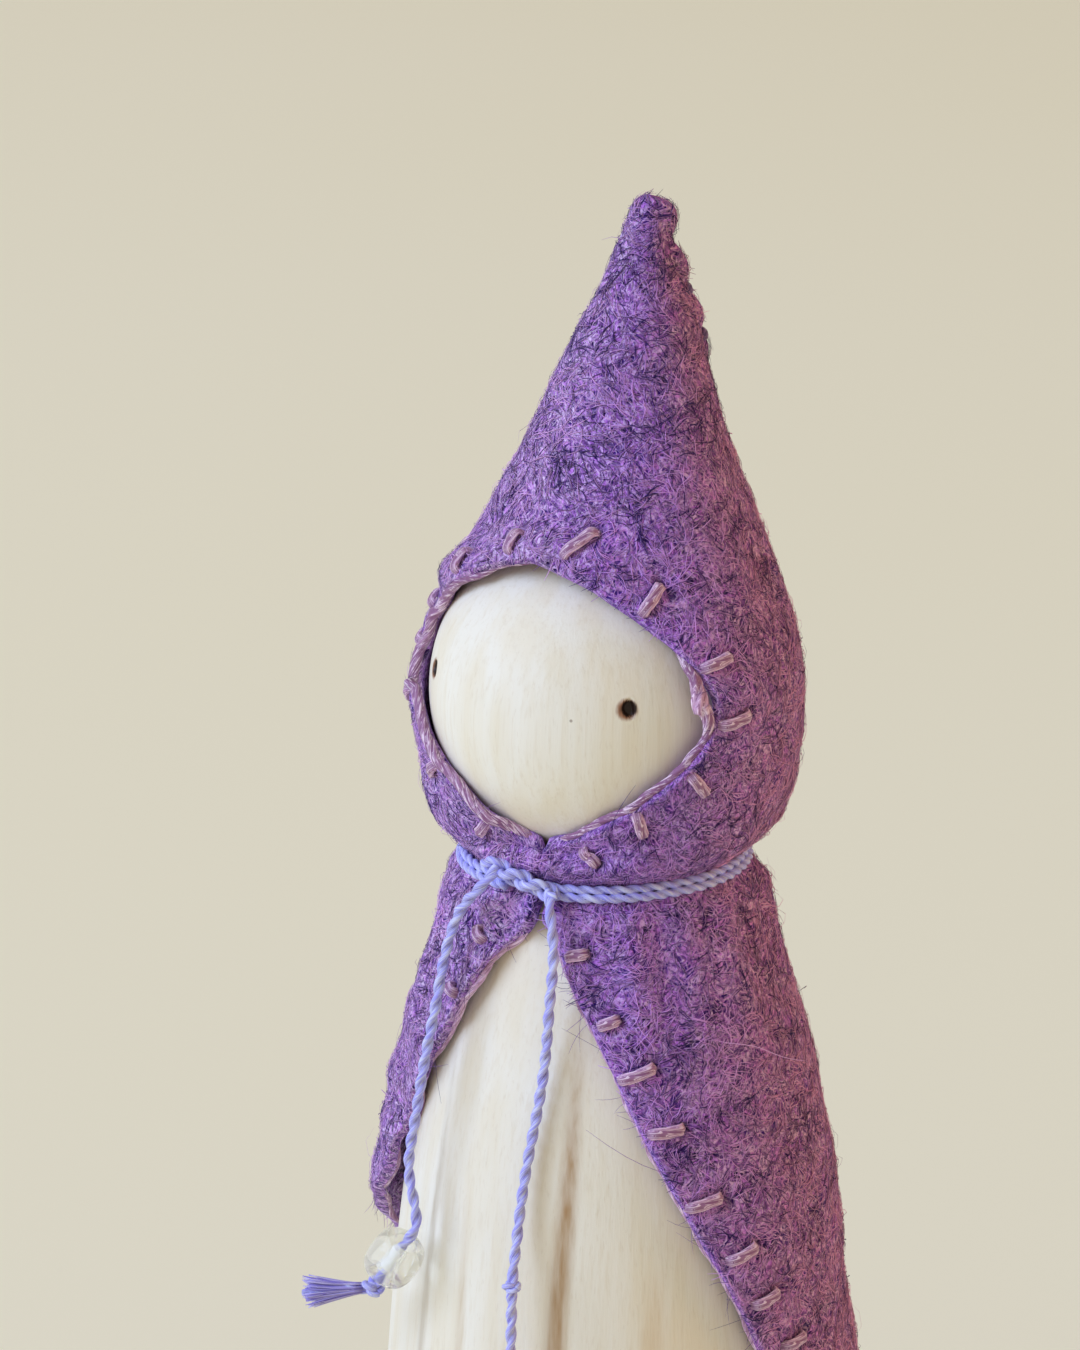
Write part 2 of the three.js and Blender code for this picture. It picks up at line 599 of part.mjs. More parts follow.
// A bead lies with its foot at the given end of the straight stretch that passes through it.
function bead(foot, way) {
  const bore = CORD_RADIUS + BEAD_PLAY;
  const half = (BEAD_RADIUS - bore) / 2;
  const profile = Array.from({ length: BEAD_STEPS + 1 }, (_, i) => {
    const turn = (2 * Math.PI * (i % BEAD_STEPS)) / BEAD_STEPS;
    const round = (value) => Math.sign(value) * Math.abs(value) ** BEAD_ROUNDNESS;
    return new THREE.Vector2(
      bore + half + half * round(Math.cos(turn)),
      (BEAD_LENGTH / 2) * round(Math.sin(turn)),
    );
  });
  const ring = closed(new THREE.LatheGeometry(profile, BEAD_SEGMENTS));
  const middle = foot.clone().addScaledVector(way, -BEAD_LENGTH / 2);
  return turnedAlong(ring, middle, way);
}

function lump(radius, middle, way) {
  const ball = closed(new THREE.SphereGeometry(radius, LUMP_SEGMENTS, LUMP_RINGS));
  return turnedAlong(ball, middle, way);
}

function frayedEnd(from, way) {
  const profile = [
    new THREE.Vector2(0, 0),
    new THREE.Vector2(CORD_RADIUS, 0),
    new THREE.Vector2((CORD_RADIUS + FRAY_RADIUS) / 2, FRAY_WAIST * FRAY_LENGTH),
    new THREE.Vector2(FRAY_RADIUS, FRAY_LENGTH),
    new THREE.Vector2(0, FRAY_LENGTH),
  ];
  return turnedAlong(closed(new THREE.LatheGeometry(profile, LUMP_SEGMENTS)), from, way);
}

// A direction at a place on the figure, from its parts outwards, along the angle and down.
function wayAt(angle, [outwards, along, down]) {
  const turn = radians(angle);
  return new THREE.Vector3(
    outwards * Math.sin(turn) + along * Math.cos(turn),
    -outwards * Math.cos(turn) + along * Math.sin(turn),
    -down,
  ).normalize();
}

// What hangs below a bead: a stop knot and the frayed end of the cord.
function tailEnd(side, foot, way, frayWay) {
  const knot = foot.clone().addScaledVector(way, FIT_GAP + STOP_KNOT_RADIUS);
  const fray = knot.clone().addScaledVector(frayWay, STOP_KNOT_RADIUS + FIT_GAP);
  return [
    part(`${side}_bead`, bead(foot, way), GLASS),
    part(`${side}_stop_knot`, lump(STOP_KNOT_RADIUS, knot, way), CORD),
    part(`${side}_frayed_end`, frayedEnd(fray, frayWay), CORD),
  ];
}

function leftTail() {
  const top = routePoint(LEFT_BEAD_TOP);
  const way = routePoint(LEFT_BEAD_FOOT).sub(top).normalize();
  const foot = top.clone().addScaledVector(way, BEAD_LENGTH);
  const leadIn = top.clone().addScaledVector(way, -CORD_DIAMETER);
  const route = [...LEFT_ROUTE.map(routePoint), leadIn, top, foot];
  return [
    part("left_tail_cord", closed(tailCord(route, LEFT_STEPS)), CORD),
    ...tailEnd("left", foot, way, wayAt(LEFT_BEAD_FOOT[0], LEFT_FRAY_WAY)),
  ];
}

function rightTail() {
  const top = routePoint(RIGHT_LOWER_TOP);
  const foot = routePoint(RIGHT_LOWER_FOOT);
  const way = foot.clone().sub(top).normalize();
  const knot = top.clone().addScaledVector(way, -MIDDLE_KNOT_RADIUS - FIT_GAP);
  const upperEnd = knot.clone().addScaledVector(way, -MIDDLE_KNOT_RADIUS - FIT_GAP);
  const route = [...RIGHT_ROUTE.map(routePoint), upperEnd];
  return [
    part("right_tail_cord", closed(tailCord(route, RIGHT_STEPS)), CORD),
    part("right_middle_knot", lump(MIDDLE_KNOT_RADIUS, knot, way), CORD),
    part("right_lower_cord", closed(tailCord([top, foot], LOWER_STEPS)), CORD),
    ...tailEnd("right", foot, way, wayAt(RIGHT_LOWER_FOOT[0], RIGHT_FRAY_WAY)),
  ];
}

// The whole figure
const gnome = new THREE.Group();
gnome.add(
  part("wooden_peg", woodenPeg(), WOOD),
  part("felt_hood", feltHood(), FELT),
  part("felt_cape", feltCape(), FELT),
  part("hood_edge_thread", blanketStitch(hoodPoint, hoodEdge), THREAD),
  part("cape_edge_thread", blanketStitch(capePoint, capeEdge), THREAD),
  part("back_seam_thread", closed(backSeamThread()), THREAD),
  part("neck_winding", closed(neckWinding()), CORD),
  part("neck_knot", neckKnot(), CORD),
  ...leftTail(),
  ...rightTail(),
);

export default gnome;
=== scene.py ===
# %% [markdown]
# # A wooden gnome in a felt cape
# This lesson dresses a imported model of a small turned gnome: a peg of pale wood, a hooded cape of
# purple felt with sewn edges, and a twisted cord with glass beads that ties the cape at the neck.
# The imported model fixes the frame: metres, +Z up, the face towards -Y, the base at the origin. Left is
# -X and right is +X, as they are for someone who looks at the face. Each piece below is
# worked out with numpy as a grid of points in millimetres, in that same frame.

import bpy
import numpy as np
from mathutils import Matrix


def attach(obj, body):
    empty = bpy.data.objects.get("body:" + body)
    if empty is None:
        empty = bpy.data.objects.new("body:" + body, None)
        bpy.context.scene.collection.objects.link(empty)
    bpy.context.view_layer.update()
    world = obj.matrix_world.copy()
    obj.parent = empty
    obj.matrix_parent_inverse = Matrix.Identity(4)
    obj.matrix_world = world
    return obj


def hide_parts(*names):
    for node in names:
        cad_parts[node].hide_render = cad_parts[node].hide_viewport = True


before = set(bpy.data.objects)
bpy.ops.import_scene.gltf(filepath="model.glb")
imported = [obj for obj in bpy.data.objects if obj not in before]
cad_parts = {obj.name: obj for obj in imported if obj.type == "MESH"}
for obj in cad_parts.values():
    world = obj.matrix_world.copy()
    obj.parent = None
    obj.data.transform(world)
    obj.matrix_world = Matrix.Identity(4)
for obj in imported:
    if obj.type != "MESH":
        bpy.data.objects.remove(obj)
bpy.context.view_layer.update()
MM = 0.001

# %% [markdown]
# ## The camera
# The figure is seen from the front right and from a little above, with a long lens, so that upright
# lines stay nearly parallel. The camera could be aimed with a constraint. It is placed by
# its three directions here, because then the numbers are the ones read off a picture.

# %% Place the camera
VIEW_AZIMUTH, VIEW_ELEVATION = np.radians([35.5, 17.0])
VIEW_DISTANCE = 330.0
AIM = np.array([0.0, 0.0, 78.0])
AIM_SHIFT = (-4.4, 1.0)  # of the picture's middle from the aim, to the right and up
LENS, SENSOR = 132, 36


def standing(right, up, back, place):
    """The matrix of an object with these three directions at a place in millimetres."""
    matrix = np.eye(4)
    matrix[:3, :3], matrix[:3, 3] = np.stack([right, up, back], 1), place * MM
    return Matrix(matrix.tolist())


view_back = np.array([
    np.sin(VIEW_AZIMUTH) * np.cos(VIEW_ELEVATION),
    -np.cos(VIEW_AZIMUTH) * np.cos(VIEW_ELEVATION),
    np.sin(VIEW_ELEVATION),
])
view_right = np.array([np.cos(VIEW_AZIMUTH), np.sin(VIEW_AZIMUTH), 0.0])
view_up = np.cross(view_back, view_right)
eye = AIM + VIEW_DISTANCE * view_back + AIM_SHIFT[0] * view_right + AIM_SHIFT[1] * view_up

camera = bpy.data.objects.new("camera", bpy.data.cameras.new("camera"))
camera.data.lens, camera.data.sensor_width = LENS, SENSOR
camera.data.clip_start, camera.data.clip_end = 0.01, 20
camera.matrix_world = standing(view_right, view_up, view_back, eye)
bpy.context.scene.collection.objects.link(camera)
bpy.context.scene.camera = camera
print("camera at", np.round(eye, 1), "mm")

# %% [markdown]
# ## From arrays to meshes
# A grid of points becomes a mesh when neighbouring points are joined by quads. Blender's primitives
# could be bent into shape, but a grid keeps the formula of the surface in plain sight. Ends are
# closed with a fan of triangles round one more point.

# %% Grids, fans and new pieces
def grid_quads(rows, columns, around=False):
    """Corner numbers of the quads between the points of a grid, and each corner's place on the grid
    from 0 to 1. With around, the last column joins the first."""
    spans = columns if around else columns - 1
    i, j = (x.ravel() for x in np.mgrid[0 : rows - 1, 0:spans])
    down = np.stack([i, i, i + 1, i + 1], 1)
    along = np.stack([j, j + 1, j + 1, j], 1)
    return down * columns + along % columns, np.stack([along / spans, down / (rows - 1)], 2)


def closed_ends(rings):
    """The points of a grid of closed rings with a middle point added at each end, the quads of the
    grid, and the triangles of the two fans. Also each corner's place on the grid."""
    rows, columns = rings.shape[:2]
    quads, places = grid_quads(rows, columns, around=True)
    points = np.concatenate([rings.reshape(-1, 3), [rings[0].mean(0), rings[-1].mean(0)]])
    j = np.arange(columns)
    after = (j + 1) % columns
    last, first_middle, last_middle = (rows - 1) * columns, rows * columns, rows * columns + 1
    foot = np.stack([np.full(columns, first_middle), after, j], 1)
    head = np.stack([np.full(columns, last_middle), last + j, last + after], 1)
    middle, side, next_side = (j + 0.5) / columns, j / columns, (j + 1) / columns
    low = np.stack([np.stack([middle, next_side, side], 1), np.zeros((columns, 3))], 2)
    high = np.stack([np.stack([middle, side, next_side], 1), np.ones((columns, 3))], 2)
    return points, [quads, np.concatenate([foot, head])], [places, np.concatenate([low, high])]


def merged(parts):
    """Several sets of points, faces and places as one."""
    starts = np.cumsum([0] + [len(part[0]) for part in parts])
    faces = [np.concatenate([p[1][k] + start for p, start in zip(parts, starts)]) for k in range(2)]
    places = [np.concatenate([part[2][k] for part in parts]) for k in range(2)]
    return np.concatenate([part[0] for part in parts]), faces, places


def new_piece(name, points, faces, places=None, map_name="Surface"):
    """An object at the origin with these points, in millimetres, and faces, and their places as a
    UV map."""
    mesh = bpy.data.meshes.new(name)
    corners = np.concatenate([f.ravel() for f in faces]).astype(np.int32)
    sizes = np.concatenate([np.full(len(f), f.shape[1]) for f in faces])
    mesh.vertices.add(len(points))
    mesh.vertices.foreach_set("co", (points * MM).astype(np.float32).ravel())
    mesh.loops.add(len(corners))
    mesh.loops.foreach_set("vertex_index", corners)
    mesh.polygons.add(len(sizes))
    mesh.polygons.foreach_set("loop_start", (np.cumsum(sizes) - sizes).astype(np.int32))
    mesh.update(calc_edges=True)
    mesh.shade_smooth()
    piece = bpy.data.objects.new(name, mesh)
    bpy.context.scene.collection.objects.link(piece)
    if places is not None:
        flat = np.concatenate([p.reshape(-1, 2) for p in places])
        layer = mesh.uv_layers.new(name=map_name)
        layer.uv.foreach_set("vector", flat.astype(np.float32).ravel())
    return piece


def dress(piece, material, body, slot, *nodes):
    """Gives a piece its finish and its body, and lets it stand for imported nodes."""
    piece.data.materials.append(material)
    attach(piece, body)
    if nodes:
        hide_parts(*nodes)
    print(f"{piece.name}: {len(piece.data.polygons)} faces")
    return piece


# %% [markdown]
# ## Small helpers for materials
# Every finish here is procedural: colour, roughness and bump are worked out by nodes from the place
# on the object. These helpers add one node each and feed its inputs, so that a recipe reads from
# top to bottom.

# %% Nodes in one line each
def srgb(red, green, blue):
    """A colour written as it looks on a screen, from 0 to 255, in the linear values of a shader."""
    share = np.array([red, green, blue]) / 255
    linear = np.where(share <= 0.04045, share / 12.92, ((share + 0.055) / 1.055) ** 2.4)
    return (*linear.tolist(), 1.0)


def feed(tree, socket, value):
    if isinstance(value, bpy.types.NodeSocket):
        tree.links.new(value, socket)
    else:
        socket.default_value = value


def add(tree, kind, settings=None, **inputs):
    made = tree.nodes.new(f"ShaderNode{kind}")
    for key, value in (settings or {}).items():
        setattr(made, key, value)
    for key, value in inputs.items():
        feed(tree, made.inputs[key.replace("_", " ")], value)
    return made


def sums(tree, operation, *values, kind="Math", output="Value"):
    made = add(tree, kind, {"operation": operation})
    for socket, value in zip(made.inputs, values):
        feed(tree, socket, value)
    return made.outputs[output]


def times(tree, first, second):
    return sums(tree, "MULTIPLY", first, second)


def plus(tree, first, second):
    return sums(tree, "ADD", first, second)


def vector_sums(tree, operation, *values):
    output = "Value" if operation == "DISTANCE" else "Vector"
    return sums(tree, operation, *values, kind="VectorMath", output=output)


def scaled(tree, vector, factors):
    return vector_sums(tree, "MULTIPLY", vector, factors)


def map_parts(tree, name):
    """The place on a UV map, and its two parts."""
    place = add(tree, "UVMap", {"uv_map": name}).outputs["UV"]
    parts = add(tree, "SeparateXYZ", Vector=place).outputs
    return place, parts["X"], parts["Y"]


def step_between(tree, value, low, high):
    """0 below low, 1 above high, and a soft rise between them."""
    settings = {"interpolation_type": "SMOOTHSTEP"}
    made = add(tree, "MapRange", settings, Value=value, From_Min=low, From_Max=high)
    return made.outputs["Result"]


def mixed(tree, share, first, second, way="MIX"):
    made = add(tree, "Mix", {"data_type": "RGBA", "blend_type": way})
    for index, value in ((0, share), (6, first), (7, second)):
        feed(tree, made.inputs[index], value)
    return made.outputs[2]


def noise(tree, place, scale, detail=2.0, dimensions="3D", roughness=0.5, output="Fac"):
    inputs = {"Vector": place, "Scale": scale, "Detail": detail, "Roughness": roughness}
    return add(tree, "TexNoise", {"noise_dimensions": dimensions}, **inputs).outputs[output]


def new_material(name, **sockets):
    """A material with a Principled shader, whose even values are set on its own sockets."""
    material = bpy.data.materials.new(name)
    material.use_nodes = True
    shader = material.node_tree.nodes["Principled BSDF"]
    for key, value in sockets.items():
        shader.inputs[key.replace("_", " ")].default_value = value
    return material, material.node_tree, shader


def object_millimetres(tree, stretch=(1, 1, 1)):
    """The place on the object in millimetres, shrunk along an axis to stretch a pattern there."""
    place = add(tree, "TexCoord").outputs["Object"]
    return scaled(tree, place, tuple(1000 * s for s in stretch))


def raise_bump(tree, shader, height, strength, distance):
    bump = add(tree, "Bump", Height=height, Strength=strength, Distance=distance)
    tree.links.new(bump.outputs["Normal"], shader.inputs["Normal"])


# %% [markdown]
# ## Paths and twisted cords
# The tie is a two-ply cord, and the sewing thread has five loose strands. A single round tube with
# a bump could stand for them, but the furrows between the plies show on the outline too. So the
# section itself is lobed, one lobe for each ply, and it turns on its way along the path.

# %% Carry a section along a path
def unit(vectors):
    return vectors / np.linalg.norm(vectors, axis=-1, keepdims=True)


def arc_lengths(points):
    """Length along a row of points, from 0 at the first one. Works on the last two axes."""
    steps = np.linalg.norm(np.diff(points, axis=-2), axis=-1)
    return np.concatenate([np.zeros_like(steps[..., :1]), np.cumsum(steps, -1)], -1)


def smooth_path(points, step):
    """A natural cubic spline through the points, by chord length, sampled about every step."""
    points = np.asarray(points, float)
    t = arc_lengths(points)
    gaps, n = np.diff(t), len(t)
    system, right = np.eye(n), np.zeros((n, 3))
    inner = np.arange(1, n - 1)
    system[inner, inner - 1], system[inner, inner + 1] = gaps[:-1], gaps[1:]
    system[inner, inner] = 2 * (gaps[:-1] + gaps[1:])
    slopes = np.diff(points, axis=0) / gaps[:, None]
    right[inner] = 6 * np.diff(slopes, axis=0)
    bend = np.linalg.solve(system, right)
    at = np.linspace(0, t[-1], max(8, int(round(t[-1] / step))))
    k = np.clip(np.searchsorted(t, at, side="right") - 1, 0, n - 2)
    a, b, gap = (t[k + 1] - at)[:, None], (at - t[k])[:, None], gaps[k][:, None]
    return (
        (bend[k] * a**3 + bend[k + 1] * b**3) / (6 * gap)
        + (points[k] / gap - bend[k] * gap / 6) * a
        + (points[k + 1] / gap - bend[k + 1] * gap / 6) * b
    )


def ply_section(arc, radius, plies, pitch, sides, flatten=1.0, spread=0.36):
    """A lobed section that turns once in each pitch: the outline of circles set round a middle, as a
    distance for each direction. spread is how far the circles stand from the middle, as a share of
    the radius, and flatten presses the section towards what it lies on."""
    share = 2 * np.pi / plies
    around = 2 * np.pi * np.arange(sides) / sides
    turn = around - 2 * np.pi * np.asarray(arc)[..., None] / pitch
    off = (turn + share / 2) % share - share / 2
    offset, lobe = spread * radius, (1 - spread) * radius
    reach = offset * np.cos(off) + np.sqrt(lobe**2 - (offset * np.sin(off)) ** 2)
    return np.stack([flatten * reach * np.cos(around), reach * np.sin(around)], -1)


def carried(path, up, section):
    """Rings of points: each section lies across the path, with its first direction towards up."""
    way = unit(np.gradient(path, axis=-2))
    first = unit(up - (up * way).sum(-1, keepdims=True) * way)
    second = np.cross(way, first)
    return (
        path[..., None, :]
        + section[..., :1] * first[..., None, :]
        + section[..., 1:] * second[..., None, :]
    )


def mapped_tube(rings, arc, reach, end_reach):
    """A closed tube, and for its map the length along it and how far each point stands out."""
    points, faces, _ = closed_ends(rings)
    depth = np.append(reach, [end_reach, end_reach])
    along = np.append(np.repeat(arc, reach.shape[1]), arc[[0, -1]])
    return points, faces, [np.stack([along[f], depth[f]], -1) for f in faces]


# %% [markdown]
# ## The sizes of the figure
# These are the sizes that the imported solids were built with, in millimetres and degrees. The dressed
# pieces take their places from them, so every piece sits on what carries it.

# %% Sizes shared with the solids
PEG_HEIGHT, HEAD_RADIUS, NECK_RADIUS, NECK_LENGTH = 90.0, 11.8, 7.6, 1.8
BELL_RADIUS, BELL_LENGTH, BASE_FILLET = 16.3, 20.0, 1.0
EYE_ANGLE, EYE_RISE, EYE_DEPTH = 42.0, 2.1, 0.35
FELT_THICKNESS, HOOD_EASE, CAPE_EASE, CAPE_FLARE = 1.0, 0.3, 0.6, 0.035
HOOD_POINT, HOOD_LEAN, LEAN_START, HOOD_HOLLOW, TIP_HOLLOW = 20.8, 0.14, 8.0, 0.55, 0.3
RIM_FLARE, RIM_FLARE_WIDTH, BROW_DROP, FACE_RISE = 0.8, 0.25, 0.9, 2.3
FACE_HALF_ANGLE, FACE_CURVE_UP, FACE_CURVE_DOWN, THROAT_RISE = 67.0, 1.33, 1.48, 2.3
EDGE_SLOPE, EDGE_PARTING, HEM_RISE, CORNER_RISE, CORNER_START = 0.62, 1.8, 15.4, 8.0, 0.35
LEFT_TURN, LEFT_TURN_TO, TUCK_TURN, TUCK_FROM, TUCK_TO = 7.0, 6.7, 19.0, 21.0, 33.0
THROAT_TURN, TIP_TURN = 9.5, -50.0
CORD_RADIUS, KNOT_RISE, KNOT_SLANT, KNOT_TURNS = 0.45, 0.4, 1.4, 1.5
BEAD_RADIUS, BEAD_LENGTH, BEAD_ROUNDNESS = 2.05, 3.4, 0.85
STOP_KNOT_RADIUS, MIDDLE_KNOT_RADIUS, FRAY_LENGTH, FRAY_RADIUS = 0.85, 0.7, 4.2, 1.0
FIT_GAP, THREAD_DIAMETER = 0.3, 0.66

HEAD_Z = PEG_HEIGHT - HEAD_RADIUS
BALL_FOOT_Z = HEAD_Z - np.sqrt(HEAD_RADIUS**2 - NECK_RADIUS**2)
NECK_Z = BALL_FOOT_Z - NECK_LENGTH
HOOD_RADIUS = HEAD_RADIUS + HOOD_EASE + FELT_THICKNESS
NECK_FELT_RADIUS = NECK_RADIUS + CAPE_EASE + FELT_THICKNESS
TIP_RADIUS = FELT_THICKNESS + TIP_HOLLOW
TIP_Z = PEG_HEIGHT + HOOD_POINT
BROW_Z, FACE_Z, THROAT_Z = PEG_HEIGHT - BROW_DROP, HEAD_Z + FACE_RISE, NECK_Z + THROAT_RISE
HEM_DROP = NECK_Z - HEM_RISE
EDGE_DROP = HEM_DROP - CORNER_RISE
ON_WOOD = FIT_GAP + CORD_RADIUS
ON_STITCHES = CAPE_EASE + FELT_THICKNESS + FIT_GAP + THREAD_DIAMETER + ON_WOOD
BEAD_STANDOFF = BEAD_RADIUS + FIT_GAP
KNOT_REACH = STOP_KNOT_RADIUS + FIT_GAP
print(f"neck at {NECK_Z:.2f} mm, tip of the hood at {TIP_Z:.1f} mm")


def smoothstep(x, low, high):
    t = np.clip((x - low) / (high - low), 0, 1)
    return t * t * (3 - 2 * t)


def hump(x, middle, width):
    """A bell curve: 1 at the middle, and next to nothing two widths away."""
    return np.exp(-(((x - middle) / width) ** 2))


def wrapped(angle):
    """The same angle between minus and plus a half turn."""
    return np.arctan2(np.sin(angle), np.cos(angle))


def body_radius(z):
    """The body swells from the neck down, ever more slowly: an exponential bell."""
    drop = np.maximum(0, NECK_Z - z)
    return BELL_RADIUS - (BELL_RADIUS - NECK_RADIUS) * np.exp(-drop / BELL_LENGTH)


def round_figure(angle, radius, z):
    """Points at an angle from the front, in radians, at a distance from the axis and a height."""
    return np.stack(np.broadcast_arrays(radius * np.sin(angle), -radius * np.cos(angle), z), -1)


def outwards(points):
    """The level direction away from the figure's axis."""
    return unit(points * [1, 1, 0] + [1e-9, 0, 0])


# %% [markdown]
# ## The finish of the tie cord
# Mercerised cotton is smooth and a little shiny, in a light blue with a violet cast. The furrow between
# the plies is painted a much darker violet, as painted shade. The map of a cord holds its length and
# the turn round it, so fine fibres can follow each ply, and they are painted near white, partly as
# painted glints.

# %% Tie cord
CORD_PITCH = 2.7  # length of a full turn of the two plies


def cord_material():
    material, tree, shader = new_material("tie_cord", Roughness=0.55, Sheen_Weight=0.25)
    place, _, depth = map_parts(tree, "Surface")
    fine = noise(tree, scaled(tree, place, (0.9, 26, 1)), 1.0, 2, "2D")
    patch = noise(tree, object_millimetres(tree), 0.5, 1)
    light = mixed(tree, patch, srgb(148, 142, 255), srgb(182, 182, 255))
    # Painted shade: the furrow between the plies is painted a deep violet.
    furrow = mixed(tree, step_between(tree, depth, 0.35, 0.95), srgb(70, 30, 168), light)
    fibres = step_between(tree, fine, 0.42, 0.6)
    # The fine fibres are painted near white: fibre texture and painted glints both.
    colour = mixed(tree, times(tree, fibres, 0.62), furrow, srgb(236, 242, 255))
    tree.links.new(colour, shader.inputs["Base Color"])
    raise_bump(tree, shader, fine, 0.35, 0.00012)
    return material


CORD_FINISH = cord_material()


def cord_tube(path, up, radius, pitch=CORD_PITCH, sides=20):
    """A two-ply tube. The radius is one number, or a column with one for each point of the path."""
    arc = arc_lengths(path)
    section = ply_section(arc, radius, 2, pitch, sides)
    return mapped_tube(carried(path, up, section), arc, np.linalg.norm(section, axis=-1) / radius, 0.5)


# %% [markdown]
# ## The two tails
# Each end of the tie hangs down in front as a limp cord, goes through a glass bead and ends in a knot
# with a frayed tip. A simulation could drop the cord, but a cord this short and light keeps the bend
# that the knot gives it. So its route is given point by point, over the felt and the wood.
# A route gives the angle, the drop below the neck and the distance from the wood.

# %% Routes of the tails
TAIL_RADIUS = 0.38  # the hanging cord is drawn thinner than the solid that stands for it
LEFT_ROUTE = [
    (-6.6, -0.95, 3.1), (-7.6, -0.35, 3.6), (-10.5, 0.55, 3.9), (-15, 1.6, 3.7), (-18.6, 2.9, 3.45),
    (-19.5, 4.6, 3.4), (-19.5, 6.4, ON_STITCHES), (-18.6, 8.4, ON_STITCHES), (-18.4, 12.4, ON_STITCHES),
    (-19.2, 16.6, 3.1), (-19.2, 20.8, 2.8),
]
LEFT_BEAD_TOP, LEFT_BEAD_FOOT = (-18.9, 25, BEAD_STANDOFF + 0.2), (-24.9, 28.3, BEAD_STANDOFF + 1.1)
LEFT_FRAY_WAY = (0.75, -0.6, 0.15)  # outwards, along the growing angle, down
RIGHT_ROUTE = [
    (14.6, 0.1, 2.9), (16, 0.95, 3.3), (17.3, 2.3, 3.05), (18.2, 4.3, 2.6), (17.8, 7, 2.15),
    (16.9, 10.4, 1.4), (15, 14.6, ON_WOOD + 0.2), (13.5, 17.3, ON_WOOD + 0.2),
    (12.4, 20.6, ON_WOOD + 0.4), (12.4, 23.8, 1.7),
]
RIGHT_LOWER_TOP, RIGHT_LOWER_FOOT = (13, 26.9, BEAD_STANDOFF), (13.4, 38.2, BEAD_STANDOFF)
RIGHT_FRAY_WAY = (0.1, 0.1, 1.0)


def route_points(route):
    angle, drop, distance = np.transpose(np.atleast_2d(route))
    return round_figure(np.radians(angle), body_radius(NECK_Z - drop) + distance, NECK_Z - drop)


def way_at(angle, parts):
    """A direction at an angle of the figure from its parts outwards, along the angle and down."""
    sine, cosine = np.sin(np.radians(angle)), np.cos(np.radians(angle))
    out, along, down = parts
    return unit(np.array([out * sine + along * cosine, along * sine - out * cosine, -down]))


left_top, left_aim = route_points([LEFT_BEAD_TOP, LEFT_BEAD_FOOT])
left_way = unit(left_aim - left_top)
left_foot = left_top + BEAD_LENGTH * left_way
right_top, right_foot = route_points([RIGHT_LOWER_TOP, RIGHT_LOWER_FOOT])
right_way = unit(right_foot - right_top)
left_fray_way = way_at(LEFT_BEAD_FOOT[0], LEFT_FRAY_WAY)
right_fray_way = way_at(RIGHT_LOWER_FOOT[0], RIGHT_FRAY_WAY)
left_knot_middle = left_foot + KNOT_REACH * left_way
right_knot_middle = right_foot + KNOT_REACH * right_way
middle_knot = right_top - (MIDDLE_KNOT_RADIUS + FIT_GAP) * right_way

# %% Lay the cords
FRAY_CORE = 0.6  # radius of what is left of the cord among the loose threads, to that of the cord


def tail(name, body, route, foot_knot, fray_way, nodes):
    """A tail from the neck knot through its bead and its stop knot to the middle of the frayed end,
    where it thins out."""
    knot_exit = foot_knot + KNOT_REACH * fray_way
    fray_end = knot_exit + 0.9 * FRAY_LENGTH * fray_way
    path = smooth_path([*route, foot_knot, knot_exit, fray_end], 0.12)
    arc = arc_lengths(path)
    thin = smoothstep(arc, arc[-1] - FRAY_LENGTH, arc[-1])[:, None]
    radius = TAIL_RADIUS * (1 - (1 - FRAY_CORE) * thin)
    piece = new_piece(name, *cord_tube(path, outwards(path), radius))
    dress(piece, CORD_FINISH, body, "tie_cord", *nodes)
    return piece, path


left_cord, left_path = tail(
    "left_tail", "left_tail",
    [*route_points(LEFT_ROUTE), left_top - 0.9 * left_way, left_top, left_foot],
    left_knot_middle, left_fray_way, ["left_tail_cord"],
)
right_cord, right_path = tail(
    "right_tail", "right_tail",
    [*route_points(RIGHT_ROUTE), middle_knot, right_top, 0.5 * (right_top + right_foot), right_foot],
    right_knot_middle, right_fray_way, ["right_tail_cord", "right_lower_cord"],
)
for cord, path in ((left_cord, left_path), (right_cord, right_path)):
    print(f"{cord.name}: {arc_lengths(path)[-1]:.1f} mm long")

# %% [markdown]
# ## Knots on the tails
# The stop knots are single overhand knots, which is what a trefoil is: a line that goes round twice
# while it winds three times through its own ring. A ball with a bump would miss its three arches.
# The trefoil is turned so that its hole lies along the cord.

# %% Overhand knots
OVERHAND_CORD, OVERHAND_HEIGHT, OVERHAND_PITCH = 0.4, 1.45, 1.6


def overhand_knot(name, middle, way, radius, body, node):
    """A trefoil of cord: the distance from the middle is 2 + cos 3t in proportion, the height
    sin 3t, and the angle 2t, scaled so that the cord's outside has the given radius."""
    t = np.linspace(0, 2 * np.pi, 121)
    cord = OVERHAND_CORD * radius
    ring = (radius - cord) / 3
    line = np.stack([
        ring * (2 + np.cos(3 * t)) * np.cos(2 * t),
        ring * (2 + np.cos(3 * t)) * np.sin(2 * t),
        OVERHAND_HEIGHT * ring * np.sin(3 * t),
    ], 1)
    side = unit(np.cross(way, [0.3, 0.9, 0.2]))
    axes = np.stack([side, np.cross(way, side), way])
    up = np.stack([np.cos(2 * t) * np.cos(3 * t), np.sin(2 * t) * np.cos(3 * t), np.sin(3 * t)], 1)
    tube = cord_tube(middle + line @ axes, up @ axes, cord, OVERHAND_PITCH, sides=12)
    return dress(new_piece(name, *tube), CORD_FINISH, body, "tie_cord", node)


left_stop, right_stop, right_middle = (
    overhand_knot(f"{node}_tied", *where, body, node)
    for node, where, body in (
        ("left_stop_knot", (left_knot_middle, left_way, STOP_KNOT_RADIUS), "left_tail"),
        ("right_stop_knot", (right_knot_middle, right_way, STOP_KNOT_RADIUS), "right_tail"),
        ("right_middle_knot", (middle_knot, right_way, MIDDLE_KNOT_RADIUS), "right_tail"),
    )
)

